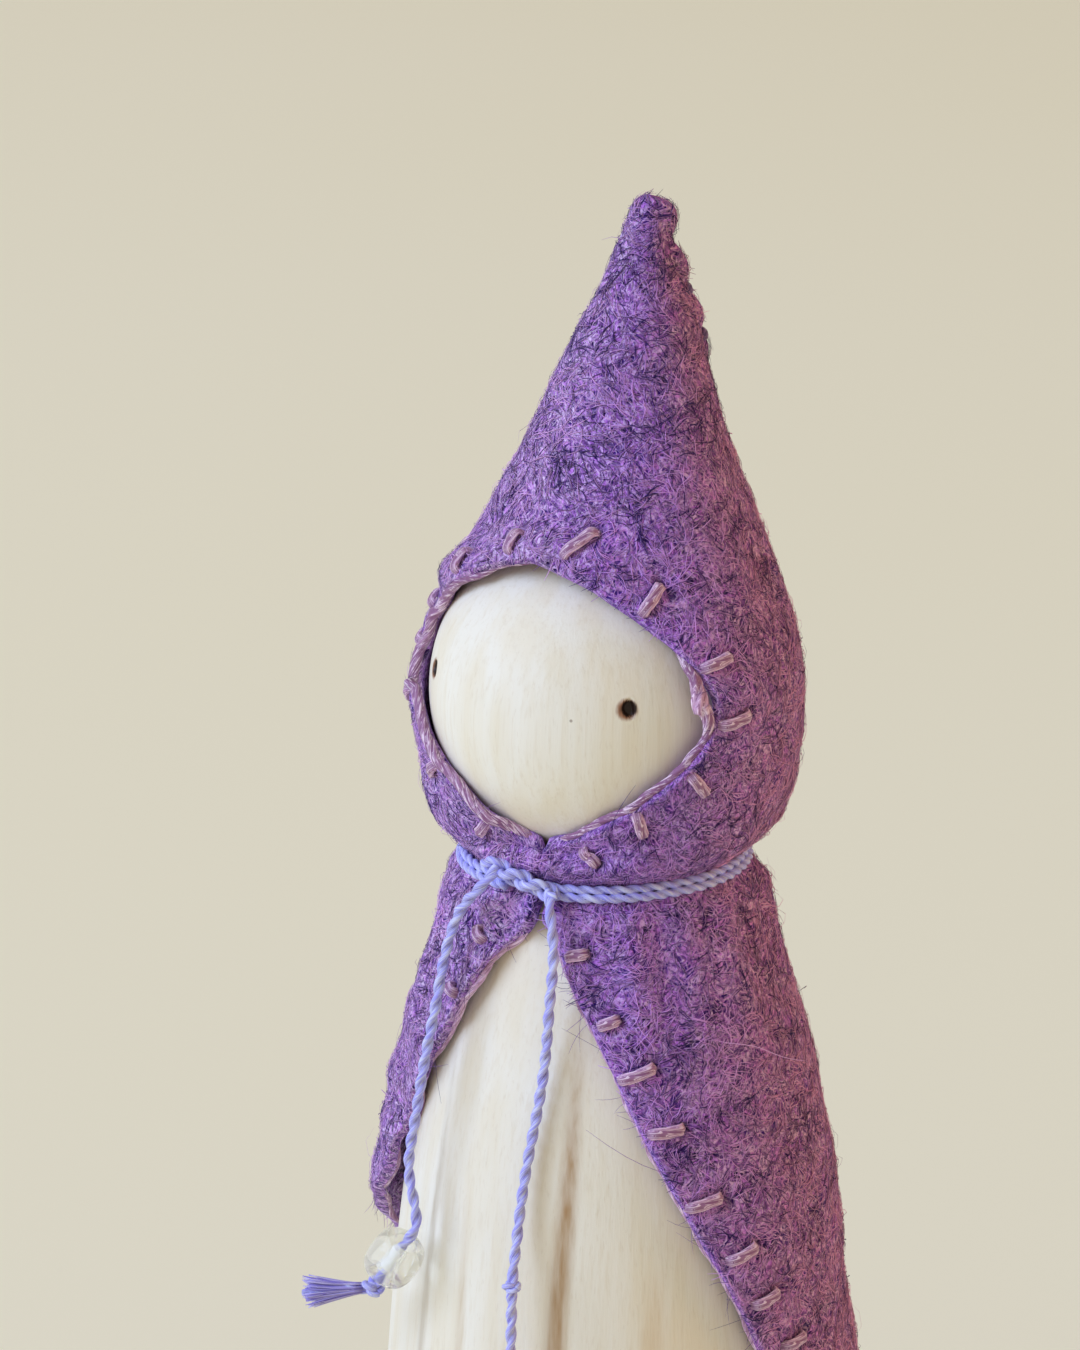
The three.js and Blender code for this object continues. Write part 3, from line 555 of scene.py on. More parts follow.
# %% [markdown]
# ## Frayed ends
# Below the knot the cord comes apart into a small brush of loose threads. Hair would be lost when the
# model leaves Blender, so each thread is a thin three-sided strand that leaves the cord, bends a
# little and spreads towards the end.

# %% Strands for frayed ends and for felt
def strands(paths, up, thickness, tint, side, taper=0.35, flatten=1.0):
    """Three-sided strands, one for each path, thinner at their ends. The map of a strand holds its
    tint and the side of the figure that it is on, both from 0 to 1, so its colour needs no more.
    flatten presses the strands towards what they lie on."""
    count, steps = paths.shape[:2]
    around = 2 * np.pi * np.arange(3) / 3
    along = np.linspace(0, 1, steps)
    thin = taper + (1 - taper) * np.sqrt(np.clip(4 * along * (1 - along), 0, 1))
    reach = 0.5 * thickness[:, None, None] * thin[None, :, None]
    section = np.stack([flatten * reach * np.cos(around), reach * np.sin(around)], -1)
    rings = carried(paths, up, section)
    quads, places = grid_quads(steps, 3, around=True)
    starts = steps * 3 * np.arange(count)
    quads = (quads + starts[:, None, None]).reshape(-1, 4)
    ends = np.array([[0, 2, 1], [3 * steps - 3, 3 * steps - 2, 3 * steps - 1]])
    ends = (ends + starts[:, None, None]).reshape(-1, 3)
    spot = np.stack([tint, side], -1)[:, None, None]
    quad_map = spot + 0.012 * (places[None] - 0.5)
    end_map = spot + 0.006 * np.array([[[-1, -1], [0, -0.5], [1, -1]], [[-1, 1], [0, 0.5], [1, 1]]])
    return rings.reshape(-1, 3), [quads, ends], [quad_map.reshape(-1, 4, 2), end_map.reshape(-1, 3, 2)]


def strand_material(name, dark, light, roughness, light_tone=None):
    """Strands go from a dark tint to a light one. The last argument, when given, makes a colour of
    painted light from the side of the figure that the strand is on, and that colour is laid over it."""
    material, tree, shader = new_material(
        name, Roughness=roughness, Specular_IOR_Level=0.15, Sheen_Weight=0.22, Sheen_Roughness=0.4,
        Sheen_Tint=srgb(196, 176, 255),
    )
    _, tint, side = map_parts(tree, "OFBake")
    colour = mixed(tree, tint, dark, light)
    if light_tone:
        colour = mixed(tree, 1.0, colour, light_tone(tree, side), "MULTIPLY")
    tree.links.new(colour, shader.inputs["Base Color"])
    return material


FRAY_FINISH = strand_material("frayed_cord", srgb(130, 112, 214), srgb(222, 214, 255), 0.6)


def frayed_end(hand, knot, way, seed):
    """A brush of strands that leaves the cord as a bundle and opens like a fan."""
    rng = np.random.default_rng(seed)
    count, steps = 150, 7
    t = np.linspace(0, 1, steps)[None, :, None]
    side = unit(np.cross(way, [0.2, 0.1, 1.0]))
    axes = np.stack([side, np.cross(way, side)])
    spot = rng.normal(size=(count, 2))
    spot *= np.minimum(1, 1.6 / np.linalg.norm(spot, axis=1, keepdims=True)) / 1.6
    from_cord, to_end = 0.8 * CORD_RADIUS * spot, 1.15 * FRAY_RADIUS * spot * [0.6, 1.0]
    across = from_cord[:, None] + (to_end - from_cord)[:, None] * t**1.4
    across = across + 0.09 * np.sin(3 * t + rng.uniform(0, 6, (count, 1, 2))) * t
    reach = FRAY_LENGTH * rng.uniform(0.82, 1.0, (count, 1, 1))
    paths = knot + KNOT_REACH * way + way * reach * (t - 0.12) + across @ axes
    up = np.broadcast_to(unit(axes.sum(0)), paths.shape)
    thickness = rng.uniform(0.07, 0.13, count)
    tint, side = rng.uniform(0.02, 0.98, (2, count))
    piece = new_piece(f"{hand}_fray", *strands(paths, up, thickness, tint, side, 0.6), "OFBake")
    return dress(piece, FRAY_FINISH, f"{hand}_tail", "tie_cord", f"{hand}_frayed_end")


left_fray = frayed_end("left", left_knot_middle, left_fray_way, 11)
right_fray = frayed_end("right", right_knot_middle, right_fray_way, 12)

# %% [markdown]
# ## Glass beads
# A clear seed bead is a short piece of glass tube that the fire has rounded. A torus would be too
# round, so the profile is a superellipse, nearly square with soft corners, turned round the bore.
# One side of the bore is given a white, rough finish: a painted highlight that shows through the clear
# glass.

# %% Beads
def glass_material():
    material, tree, shader = new_material(
        "bead_glass", Roughness=0.03, IOR=1.33, Transmission_Weight=1.0, Alpha=0.6,
        Base_Color=srgb(246, 248, 246),
    )
    drawn = noise(tree, object_millimetres(tree), 0.9, 1)
    raise_bump(tree, shader, drawn, 0.05, 0.0003)
    return material


GLASS = glass_material()
# Painted highlight: the white rough finish on one side of the bore.
BORE_HIGHLIGHT = new_material("bead_bore_highlight", Base_Color=srgb(250, 250, 246), Roughness=0.8)[0]
GLASS_RADIUS, GLASS_LENGTH, GLASS_PLAY = 1.82, 3.2, 0.08
BEAD_SIDES, BEAD_STEPS = 36, 48  # points round the profile, and profiles round the bore
HIGHLIGHT_WAY = np.array([-0.06, -0.97, 0.23])


def bead(hand, foot, way):
    """A ring whose profile is a superellipse, with its axis along the cord."""
    profile = 2 * np.pi * np.arange(BEAD_SIDES) / BEAD_SIDES
    soft = lambda x: np.sign(x) * np.abs(x) ** BEAD_ROUNDNESS
    bore = TAIL_RADIUS + GLASS_PLAY
    half = (GLASS_RADIUS - bore) / 2
    radius = (bore + half + half * soft(np.cos(profile)))[None, :, None]
    rise = (GLASS_LENGTH / 2 * soft(np.sin(profile)))[None, :, None]
    turn = (2 * np.pi * np.arange(BEAD_STEPS) / BEAD_STEPS)[:, None, None]
    side = unit(np.cross(way, [0.3, 0.9, 0.2]))
    middle = foot - BEAD_LENGTH / 2 * way
    points = middle + radius * (np.cos(turn) * side + np.sin(turn) * np.cross(way, side)) + rise * way
    quads, places = grid_quads(BEAD_STEPS + 1, BEAD_SIDES, around=True)
    quads = quads[:, ::-1] % (BEAD_STEPS * BEAD_SIDES)
    piece = new_piece(f"{hand}_glass_bead", points.reshape(-1, 3), [quads], [places[:, ::-1]])
    dress(piece, GLASS, f"{hand}_bead_body", "bead_glass", f"{hand}_bead")
    piece.data.materials.append(BORE_HIGHLIGHT)
    # Painted highlight: the bore faces on the front side get the white finish.
    in_bore = np.cos(profile + np.pi / BEAD_SIDES) < -0.86
    highlight_side = unit(points[:, 0] - middle - rise[:, 0] * way) @ HIGHLIGHT_WAY > 0.5
    finish = (highlight_side[:, None] & in_bore).ravel().astype(np.int32)
    piece.data.polygons.foreach_set("material_index", finish)
    return piece


left_glass = bead("left", left_foot, left_way)
right_glass = bead("right", right_foot, right_way)


# %% [markdown]
# ## The turned peg
# Head, neck and body are one piece of pale wood from the lathe, so one profile turned round the axis
# gives it all. The eyes are burnt in with a hot point: two shallow pits. The grid has closer lines
# there, because a pit of a millimetre needs steps of a tenth.

# %% Turn the peg
def peg_profile():
    """Radius and height from the foot to the crown: a fillet, the bell, the neck and the ball."""
    turn = np.linspace(0, np.pi / 2, 7)
    foot = body_radius(BASE_FILLET) - BASE_FILLET * (1 - np.sin(turn))
    bell_z = np.linspace(BASE_FILLET, NECK_Z, 90)[1:]
    neck_z = np.linspace(NECK_Z, BALL_FOOT_Z, 6)[1:-1]
    lowest = np.arcsin((BALL_FOOT_Z - HEAD_Z) / HEAD_RADIUS)
    eye_rise = np.arcsin(EYE_RISE / HEAD_RADIUS)
    rise = np.unique(np.r_[np.linspace(lowest, 1.54, 64), eye_rise + np.linspace(-0.09, 0.09, 31)])
    flat = np.array([0.25, 0.5, 0.75]) * foot[0]
    radius = np.r_[flat, foot, body_radius(bell_z), np.full(len(neck_z), NECK_RADIUS)]
    z = np.r_[np.zeros(3), BASE_FILLET * (1 - np.cos(turn)), bell_z, neck_z]
    return (
        np.r_[radius, HEAD_RADIUS * np.cos(rise)],
        np.r_[z, HEAD_Z + HEAD_RADIUS * np.sin(rise)],
    )


EYE_HALF_WIDTH, EYE_HALF_HEIGHT = 0.5, 0.64


def eye_frame(side):
    """The middle of an eye on the ball, and its directions out, across and up."""
    angle = np.radians(side * EYE_ANGLE)
    reach = np.sqrt(HEAD_RADIUS**2 - EYE_RISE**2)
    middle = round_figure(angle, reach, HEAD_Z + EYE_RISE)
    out = unit(middle - [0, 0, HEAD_Z])
    across = np.array([np.cos(angle), np.sin(angle), 0])
    return middle, out, across, np.cross(out, across)


def burnt_eye(points, side):
    """Points pressed in by an eye: a steep-walled oval pit with a low rim, slightly uneven."""
    middle, out, across, up = eye_frame(side)
    x = (points - middle) @ across / EYE_HALF_WIDTH
    y = (points - middle) @ up / EYE_HALF_HEIGHT
    bearing = np.arctan2(y, x)
    far = np.hypot(x, y) * (1 + 0.09 * np.sin(2 * bearing + side) + 0.08 * np.sin(3 * bearing + 1.3))
    near = (points @ out > 0)[..., None]
    depth = EYE_DEPTH * (1 - smoothstep(far, 0.45, 1.02)) - 0.015 * hump(far, 1.15, 0.14)
    return points - near * depth[..., None] * out


radius, z = peg_profile()
eye_lines = np.array([[EYE_ANGLE], [360 - EYE_ANGLE]]) + np.linspace(-3.8, 3.8, 33)
angles = np.radians(np.unique(np.r_[np.arange(0, 360, 2.5), eye_lines.ravel()]))
rings = round_figure(angles[None, :], radius[:, None], z[:, None])
rings = burnt_eye(burnt_eye(rings, 1), -1)
peg = new_piece("turned_peg", *closed_ends(rings))

# %% [markdown]
# ## The finish of the wood
# Bare limewood is nearly white, with fine upright grain, a soft brown streak on the front and a few
# faint grey lines. Noise that is stretched along the axis gives grain that is right all round the
# turned shape and on the crown. The scorched halo of each eye fades with the distance from its pit.

# %% Wood
FACE_SPECK = (4.71, -10.75, 79.46)  # a pin-sized pore below the eyes
WOOD_STREAKS = [  # angle, half-width in degrees, upper end, colour, weight
    (24.5, 4.2, 60, srgb(172, 132, 84), 0.8),
    (-22, 2.4, 58, srgb(176, 158, 130), 0.45),
    (-8, 3.0, 50, srgb(206, 182, 142), 0.5),
    (47, 5.0, 46, srgb(214, 180, 130), 0.5),
    (118, 4.0, 62, srgb(196, 166, 120), 0.6),
    (205, 6.0, 66, srgb(190, 158, 112), 0.5),
]


def wood_material():
    material, tree, shader = new_material("pale_wood", Roughness=0.5, Specular_IOR_Level=0.35)
    place = object_millimetres(tree)
    upright = scaled(tree, place, (1, 1, 0.03))
    slow = scaled(tree, place, (0.1, 0.1, 0.03))
    sway = add(tree, "TexNoise", Vector=slow, Scale=1.0, Detail=1.0).outputs
    bent = vector_sums(tree, "ADD", upright, scaled(tree, sway["Color"], (2, 2, 0)))
    broad = noise(tree, bent, 0.42, 3)
    fine = noise(tree, bent, 3.4, 2)
    hair = noise(tree, scaled(tree, place, (1, 1, 0.12)), 7.0, 1)
    warm = step_between(tree, broad, 0.35, 0.68)
    cream = mixed(tree, warm, srgb(244, 239, 224), srgb(239, 230, 207))
    grain = step_between(tree, fine, 0.5, 0.75)
    cream = mixed(tree, times(tree, grain, 0.28), cream, srgb(225, 212, 186))
    pores = step_between(tree, hair, 0.62, 0.72)
    cream = mixed(tree, times(tree, pores, 0.1), cream, srgb(186, 162, 126))
    parts = add(tree, "SeparateXYZ", Vector=place).outputs
    bearing = sums(tree, "ARCTAN2", parts["X"], times(tree, parts["Y"], -1.0))
    for angle, width, top, colour, weight in WOOD_STREAKS:
        off = sums(tree, "SUBTRACT", bearing, np.radians(angle))
        off = plus(tree, off, times(tree, plus(tree, sway["Fac"], -0.5), 0.25))
        near = step_between(tree, sums(tree, "ABSOLUTE", off), np.radians(width), 0.0)
        below = step_between(tree, parts["Z"], top, top - 14)
        share = times(tree, times(tree, near, below), weight)
        share = times(tree, share, plus(tree, fine, 0.45))
        cream = mixed(tree, share, cream, colour)
    speck = step_between(tree, vector_sums(tree, "DISTANCE", place, FACE_SPECK), 0.14, 0.06)
    cream = mixed(tree, times(tree, speck, 0.6), cream, srgb(120, 96, 74))
    for side in (1, -1):
        spot, out, across, up = eye_frame(side)
        uneven = times(tree, plus(tree, hair, -0.5), 0.25)
        scorched = tuple(spot - 0.12 * out - 0.12 * across - 0.06 * up)
        halo = plus(tree, vector_sums(tree, "DISTANCE", place, scorched), uneven)
        far = plus(tree, vector_sums(tree, "DISTANCE", place, tuple(spot - 0.12 * out)), uneven)
        brown = times(tree, step_between(tree, halo, 0.86, 0.5), 0.9)
        cream = mixed(tree, brown, cream, srgb(140, 78, 32))
        cream = mixed(tree, step_between(tree, far, 0.66, 0.44), cream, srgb(38, 22, 14))
    tree.links.new(cream, shader.inputs["Base Color"])
    raise_bump(tree, shader, fine, 0.12, 0.0002)
    return material


dress(peg, wood_material(), "peg", "wood", "wooden_peg")

# %% [markdown]
# ## The shape of the felt
# The cape is one piece of wool felt about a millimetre thick. It hugs the ball of the head, rises to
# a point that leans back, is gathered under the tie and falls round the body as an open cape. Cloth
# simulation could drape it, but felt this stiff keeps the shape it was sewn to. So its outer face is
# a formula: a distance from the axis for every angle and height, and then lumps, gathers and a seam.

# %% Outer face of the felt
def felt_turn(z):
    """The felt sits askew: it turns a little at the throat, and is wrung near the tip."""
    throat = THROAT_TURN * (1 - smoothstep(z, THROAT_Z, BROW_Z))
    return np.radians(throat + TIP_TURN * smoothstep(z, BROW_Z, TIP_Z))


def felt_lean(z):
    rise = np.maximum(0, z - HEAD_Z)
    return HOOD_LEAN * rise * smoothstep(rise, 0, LEAN_START)


def hood_radius(z):
    """A ball, then a slightly hollow cone that touches it, then a small round tip. Below the head
    the hood draws in to the neck with the cube of the drop."""
    rise = z - HEAD_Z
    drop = np.clip(rise / (NECK_Z - HEAD_Z), 0, None)
    low = HOOD_RADIUS - (HOOD_RADIUS - NECK_FELT_RADIUS) * drop**3
    tip_rise = TIP_Z - TIP_RADIUS - HEAD_Z
    sine = (HOOD_RADIUS - TIP_RADIUS) / tip_rise
    cosine = np.sqrt(1 - sine**2)
    cone_from, cone_to = HOOD_RADIUS * sine, tip_rise + TIP_RADIUS * sine
    share = np.clip((rise - cone_from) / (cone_to - cone_from), 0, 1)
    cone = HOOD_RADIUS * cosine - (rise - cone_from) * sine / cosine
    cone = cone - HOOD_HOLLOW * np.sin(np.pi * share)
    ball = np.sqrt(np.maximum(0, HOOD_RADIUS**2 - rise**2))
    tip = np.sqrt(np.maximum(0, TIP_RADIUS**2 - (rise - tip_rise) ** 2))
    return np.select([rise < 0, rise < cone_from, rise > cone_to], [low, ball, tip], cone)


def rim_level(angle, z):
    """1 on the rim of the face opening, less inside it and more outside it."""
    side = np.abs(wrapped(angle)) / np.radians(FACE_HALF_ANGLE)
    above = z > FACE_Z
    height = np.abs(z - FACE_Z) / np.where(above, BROW_Z - FACE_Z, FACE_Z - THROAT_Z)
    power = 2 / np.where(above, FACE_CURVE_UP, FACE_CURVE_DOWN)
    return (side**power + height**power) ** (1 / power)


def ripples(points, wavelength, waves, seed):
    """A smooth random field: the sum of plane waves of about one length, in random directions."""
    rng = np.random.default_rng(seed)
    ways = unit(rng.normal(size=(waves, 3)))
    ways *= 2 * np.pi / (wavelength * rng.uniform(0.7, 1.4, (waves, 1)))
    return np.sin(points @ ways.T + rng.uniform(0, 2 * np.pi, waves)).sum(-1) / np.sqrt(waves / 2)


FOLD_BELOW, FOLD_ABOVE, SWELL_BELOW, SWELL_ABOVE = 0.3, 0.16, 0.35, 0.32  # heights at the tie


def gathers(angle, z):
    """Soft upright folds that start at the tie and die away below and above it, and a swelling of
    the felt on both sides of the tight cord."""
    drop, rise = NECK_Z - z, z - NECK_Z
    fold = np.sin(11 * angle + 1.6 * np.sin(2 * angle + 0.6) + 0.5) + 0.6 * np.sin(19 * angle + 2.1)
    below = FOLD_BELOW * smoothstep(drop, 0.3, 2.5) * (1 - smoothstep(drop, 3.5, 15))
    above = FOLD_ABOVE * smoothstep(rise, 0.4, 2) * (1 - smoothstep(rise, 2.5, 8))
    swell = SWELL_BELOW * hump(drop, 2.0, 1.0) + SWELL_ABOVE * hump(rise, 2.2, 1.1)
    return fold * (below + above) + swell


SCALLOP_START, SCALLOP_PITCH = 0.35, 3.2
SEAM_HEIGHT, SEAM_RISE, SEAM_WIDTH = 0.22, 0.68, 0.85  # of the ridge, with the rise near the tip


def back_seam(angle, z, radius):
    """The two edges of the hood stand up as a ridge along the back, drawn in by each stitch. Near
    the tip the ridge is high, so that it shows as a row of scallops."""
    across = wrapped(angle - np.pi) * radius
    height = SEAM_HEIGHT + SEAM_RISE * smoothstep(z, TIP_Z - 13, TIP_Z - 8.5)
    scallop = np.abs(np.sin(np.pi * (TIP_Z - z + SCALLOP_START) / SCALLOP_PITCH)) ** 0.8
    ridge = height * (0.08 + 0.92 * scallop) * np.exp(-((across / SEAM_WIDTH) ** 4))
    return ridge * smoothstep(z, NECK_Z + 1, NECK_Z + 6) * smoothstep(radius, 0.3, 1.1)


FURROW_DEPTH, ROLL_HEIGHT = 0.4, 0.9


def rim_shape(angle, z):
    """The brow of the face opening stands out, with a shallow furrow behind it and a roll at its
    left end. Below that the left rim lies close to the head, and so does the rim at the throat."""
    side = wrapped(angle)
    level = rim_level(angle, z)
    close = smoothstep(-side, 0.35, 0.8) * (1 - smoothstep(z, BROW_Z - 4.5, BROW_Z - 1))
    flare = RIM_FLARE * hump(level, 1, RIM_FLARE_WIDTH) * (1 - close)
    furrow = FURROW_DEPTH * hump(level, 1.36, 0.12) * smoothstep(z, FACE_Z + 3, BROW_Z - 1)
    roll = ROLL_HEIGHT * hump(z, BROW_Z - 2.4, 1.7) * hump(side, -0.93, 0.26)
    shape = (flare - furrow * smoothstep(-side, -0.5, 0.1)) * smoothstep(z, THROAT_Z, FACE_Z) + roll
    ball = np.sqrt(np.maximum(0, HEAD_RADIUS**2 - (z - HEAD_Z) ** 2))
    slack = hood_radius(z) - np.maximum(ball + FELT_THICKNESS + 0.25, NECK_FELT_RADIUS + 0.3)
    hug = np.maximum(0, slack) * hump(level, 1, 0.3) * (z < HEAD_Z)
    return shape - hug * smoothstep(z, NECK_Z + 1, THROAT_Z)


LUMPS = [(0.11, 9, 24, 3), (0.05, 3.4, 32, 4)]  # height, wavelength, number of waves, seed
FLAP_LUMPS = (0.2, 4.6, 20, 7)  # more of them on the left side of the cape
TIP_SLIM = 0.12


def felt_lumps(plain, height, *waves):
    return height * ripples(plain, *waves)


def felt_point(angle, z):
    """Point of the felt's outer face at an angle, in radians from the felt's own front, and height."""
    hood = hood_radius(z) + rim_shape(angle, z)
    drop = np.maximum(0, NECK_Z - z)
    air = CAPE_EASE + CAPE_FLARE * drop * (0.5 - 0.5 * np.cos(angle))
    radius = np.where(z > NECK_Z, hood, body_radius(z) + air + FELT_THICKNESS)
    radius = radius * (1 - TIP_SLIM * smoothstep(z, TIP_Z - 10, TIP_Z - 3))
    turn = angle + felt_turn(z)
    plain = round_figure(turn, radius, z)
    lumps = sum(felt_lumps(plain, *row) for row in LUMPS)
    side = wrapped(angle)
    flap = smoothstep(-side, 0.5, 0.9) * (1 - smoothstep(-side, 1.8, 2.4)) * smoothstep(drop, 5, 9)
    lumps = lumps + flap * felt_lumps(plain, *FLAP_LUMPS)
    settled = smoothstep(radius, 0.4, 3) * smoothstep(np.abs(z - NECK_Z), 0, 2.5)
    radius = radius + lumps * settled + gathers(angle, z) + back_seam(angle, z, radius)
    return round_figure(turn, radius, z) + felt_lean(z)[..., None] * [0, 1, 0]


def felt_normal(angle, z, step=0.02):
    """Direction out of the felt, from the slopes along the angle and along the height."""
    around = felt_point(angle + step / 10, z) - felt_point(angle - step / 10, z)
    up = felt_point(angle, np.minimum(z + step, TIP_Z - 1e-3)) - felt_point(angle, z - step)
    return unit(np.cross(around, up))


def felt_angle(points):
    """The felt's own angle nearest to points in space."""
    lean = felt_lean(points[..., 2])
    return np.arctan2(points[..., 0], lean - points[..., 1]) - felt_turn(points[..., 2])


# %% [markdown]
# ## The edges of the felt
# The face opening is an oval that is pointed below, and the front edges of the cape part under the
# tie and run outwards to rounded corners. Each edge is a function of the share of its length, and
# the sewing needs it in even steps.

# %% Edges
SLIT_ANGLE = FIT_GAP / 2 / NECK_FELT_RADIUS
RIM_CLEAR, SIDE_SHARE, CORNER_IN = 0.06, 0.36, np.radians(3.8)


def face_rim(turn, right):
    """Half-angle and height on the rim, from the brow at 0 to the throat at a half turn. The thread
    draws the right corner in."""
    above = turn < np.pi / 2
    power = np.where(above, FACE_CURVE_UP, FACE_CURVE_DOWN)
    reach = np.where(above, BROW_Z - FACE_Z, THROAT_Z - FACE_Z)
    half = np.radians(FACE_HALF_ANGLE) * np.abs(np.sin(turn)) ** power
    half = half - right * CORNER_IN * hump(turn, np.pi / 2, 0.35)
    return half, FACE_Z + reach * np.abs(np.cos(turn)) ** power


def cape_half_angle(drop, left):
    """Angle of a front edge from the felt's front. The left one draws aside more, and low down it is
    pushed back behind the body."""
    radius = body_radius(NECK_Z - drop) + CAPE_EASE + FELT_THICKNESS
    aside = LEFT_TURN * smoothstep(drop, EDGE_PARTING, LEFT_TURN_TO)
    aside = aside + TUCK_TURN * smoothstep(drop, TUCK_FROM, TUCK_TO)
    gap = EDGE_SLOPE * np.maximum(0, drop - EDGE_PARTING)
    gap = gap + 0.3 * smoothstep(drop, 0.4, 1.4) * (1 - smoothstep(drop, 2.5, 6))
    return SLIT_ANGLE + gap / radius + np.radians(aside) * left


def hem_drop(side):
    """Drop of the hem below the neck, from the back at 0 to a front corner at 1."""
    rounded = np.maximum(0, (side - CORNER_START) / (1 - CORNER_START))
    return HEM_DROP - CORNER_RISE * rounded**2


def hood_edge(share):
    turn = np.pi * (1 - RIM_CLEAR) * (1 - 2 * share)
    half, z = face_rim(np.abs(turn), turn > 0)
    return np.sign(turn) * half, z


def cape_edge(share):
    start = EDGE_PARTING + 2 * THREAD_DIAMETER
    hem_share = (share - SIDE_SHARE) / (1 - 2 * SIDE_SHARE)
    side = 1 - 2 * hem_share
    corner = np.pi - cape_half_angle(EDGE_DROP, side > 0)
    left = hem_share <= 0
    drop = start + (EDGE_DROP - start) * np.where(left, share, 1 - share) / SIDE_SHARE
    half = cape_half_angle(drop, left)
    on_hem = (hem_share > 0) & (hem_share < 1)
    angle = np.where(on_hem, np.pi + side * corner, np.where(left, 2 * np.pi - half, half))
    return angle, NECK_Z - np.where(on_hem, hem_drop(np.abs(side)), drop)


def edge_frames(edge, shares):
    """Points of an edge with the directions out of the felt's face and away from the felt."""
    angle, z = edge(shares)
    before, after = (felt_point(*edge(np.clip(shares + step, 0, 1))) for step in (-2e-4, 2e-4))
    normal = felt_normal(angle, z)
    return felt_point(angle, z), normal, unit(np.cross(normal, after - before))


# %% [markdown]
# ## Where the stitches go
# The edges carry a blanket stitch: a thread lies along the edge, and at every stitch a leg goes over
# the felt and into a hole. The legs are placed before the felt is made, because each leg presses a
# furrow into it and draws the felt into its hole.

# %% Places of the legs
HOOD_SEWN = np.array([  # share of the edge, start and end in from it, lean
    (0.028, 0.7, 2.0, -0.1), (0.088, 0.1, 2.05, 0.4), (0.137, 0.3, 2.6, 0.14), (0.19, 0.2, 2.7, -0.45),
    (0.3, 0.1, 2.5, 0.45), (0.37, 0.3, 2.7, 0.1), (0.465, 0.85, 3.3, 0.53), (0.545, 0.5, 2.0, 0.2),
    (0.615, 0.3, 1.9, 0.1), (0.685, 0.3, 1.8, -0.1), (0.755, 0.2, 1.9, 0.15), (0.825, 0.3, 1.7, 0.0),
    (0.895, 0.2, 1.8, 0.2), (0.955, 0.4, 1.6, 0.1),
])
RIGHT_SEWN = np.array([  # drop below the neck, start and end in from the edge, lean
    (4.6, 0.2, 1.6, 0.0), (8.9, 0.43, 1.8, 0.08), (12.2, 0.05, 2.7, 0.13), (15.7, 0.2, 2.55, 0.39),
    (20.9, 0.05, 2.65, 0.31), (25.0, 0.6, 3.15, 0.23), (28.5, 0.7, 3.05, 0.29), (32.3, 1.4, 3.4, 0.35),
    (36.5, 0.6, 2.9, 0.2), (40.4, 0.4, 2.8, 0.1),
])
LEFT_SEWN = np.array([
    (5.0, 1.2, 2.4, -0.3), (8.4, 0.4, 1.4, -0.2), (32.8, 0.1, 1.6, -0.2),
    (36.9, 0.5, 2.4, -0.1), (41.0, 0.3, 2.4, -0.2),
])
HEM_STITCHES = 12


def stitch_places(edge, sewn):
    """Shares, edge points, directions, and the distances from the edge at which each leg comes out
    of the felt and goes in again."""
    points, normal, out = edge_frames(edge, sewn[:, 0])
    run = np.cross(out, normal)
    return sewn[:, 0], points, normal, out + sewn[:, 3:] * run, sewn[:, 1:3]


def side_shares(drops):
    """Shares of the left front edge at these drops below the neck."""
    start = EDGE_PARTING + 2 * THREAD_DIAMETER
    return SIDE_SHARE * (drops - start) / (EDGE_DROP - start)


def cape_sewing():
    """The rows of both front edges and an even row of stitches along the hem between them."""
    rng = np.random.default_rng(22)
    left, right = LEFT_SEWN.copy(), RIGHT_SEWN[::-1].copy()
    left[:, 0], right[:, 0] = side_shares(left[:, 0]), 1 - side_shares(right[:, 0])
    start, lean = rng.uniform(0.1, 0.5, HEM_STITCHES), rng.normal(0, 0.16, HEM_STITCHES)
    places = np.linspace(SIDE_SHARE + 0.02, 0.98 - SIDE_SHARE, HEM_STITCHES)
    return np.concatenate([left, np.stack([places, start, start + 2.2, lean], 1), right])


hood_legs = stitch_places(hood_edge, HOOD_SEWN)
cape_legs = stitch_places(cape_edge, cape_sewing())


def inside_points(legs, distance):
    """Points on the felt's face at a distance in from the edge, along each leg, with directions."""
    _, points, _, out, _ = legs
    towards = points[:, None] - np.maximum(distance, 0)[..., None] * out[:, None]
    angle, z = felt_angle(towards), towards[..., 2]
    return felt_point(angle, z), felt_normal(angle, z)


LEG_ENDS = np.concatenate([inside_points(legs, legs[4])[0] for legs in (hood_legs, cape_legs)])
print(f"{len(LEG_ENDS)} stitches")


LEG_PRESS, LEG_WIDTH, HOLE_DEPTH, HOLE_WIDTH = 0.22, 0.6, 0.4, 0.5


def pressed(points):
    """How deep the legs press the felt at these points, and how near a point lies to a hole."""
    start, end = LEG_ENDS[:, 0], LEG_ENDS[:, 1]
    run = end - start
    share = ((points[:, None] - start) * run).sum(-1) / (run**2).sum(-1)
    spot = start + np.clip(share, 0, 1)[..., None] * run
    beside = np.linalg.norm(points[:, None] - spot, axis=-1).min(1)
    hole = np.linalg.norm(points[:, None] - end, axis=-1).min(1)
    at_hole = hump(hole, 0, HOLE_WIDTH)
    return LEG_PRESS * hump(beside, 0, LEG_WIDTH) + HOLE_DEPTH * at_hole, at_hole


# %% [markdown]
# ## One sheet of felt
# The sheet is a grid with rows from the hem to the tip and columns from the right front edge round
# the back to the left one. Above the brow the first and last columns meet. A Solidify modifier could
# give the thickness, but its rim would be sharp. So the inner face is a second grid, and a rounded
# strip joins the two along every edge.

# %% Rows and columns of the sheet
CAPE_ROWS, THROAT_ROWS, RIM_ROWS, CONE_ROWS, TIP_ROWS, COLUMNS, STRIP = 104, 6, 56, 46, 7, 193, 4


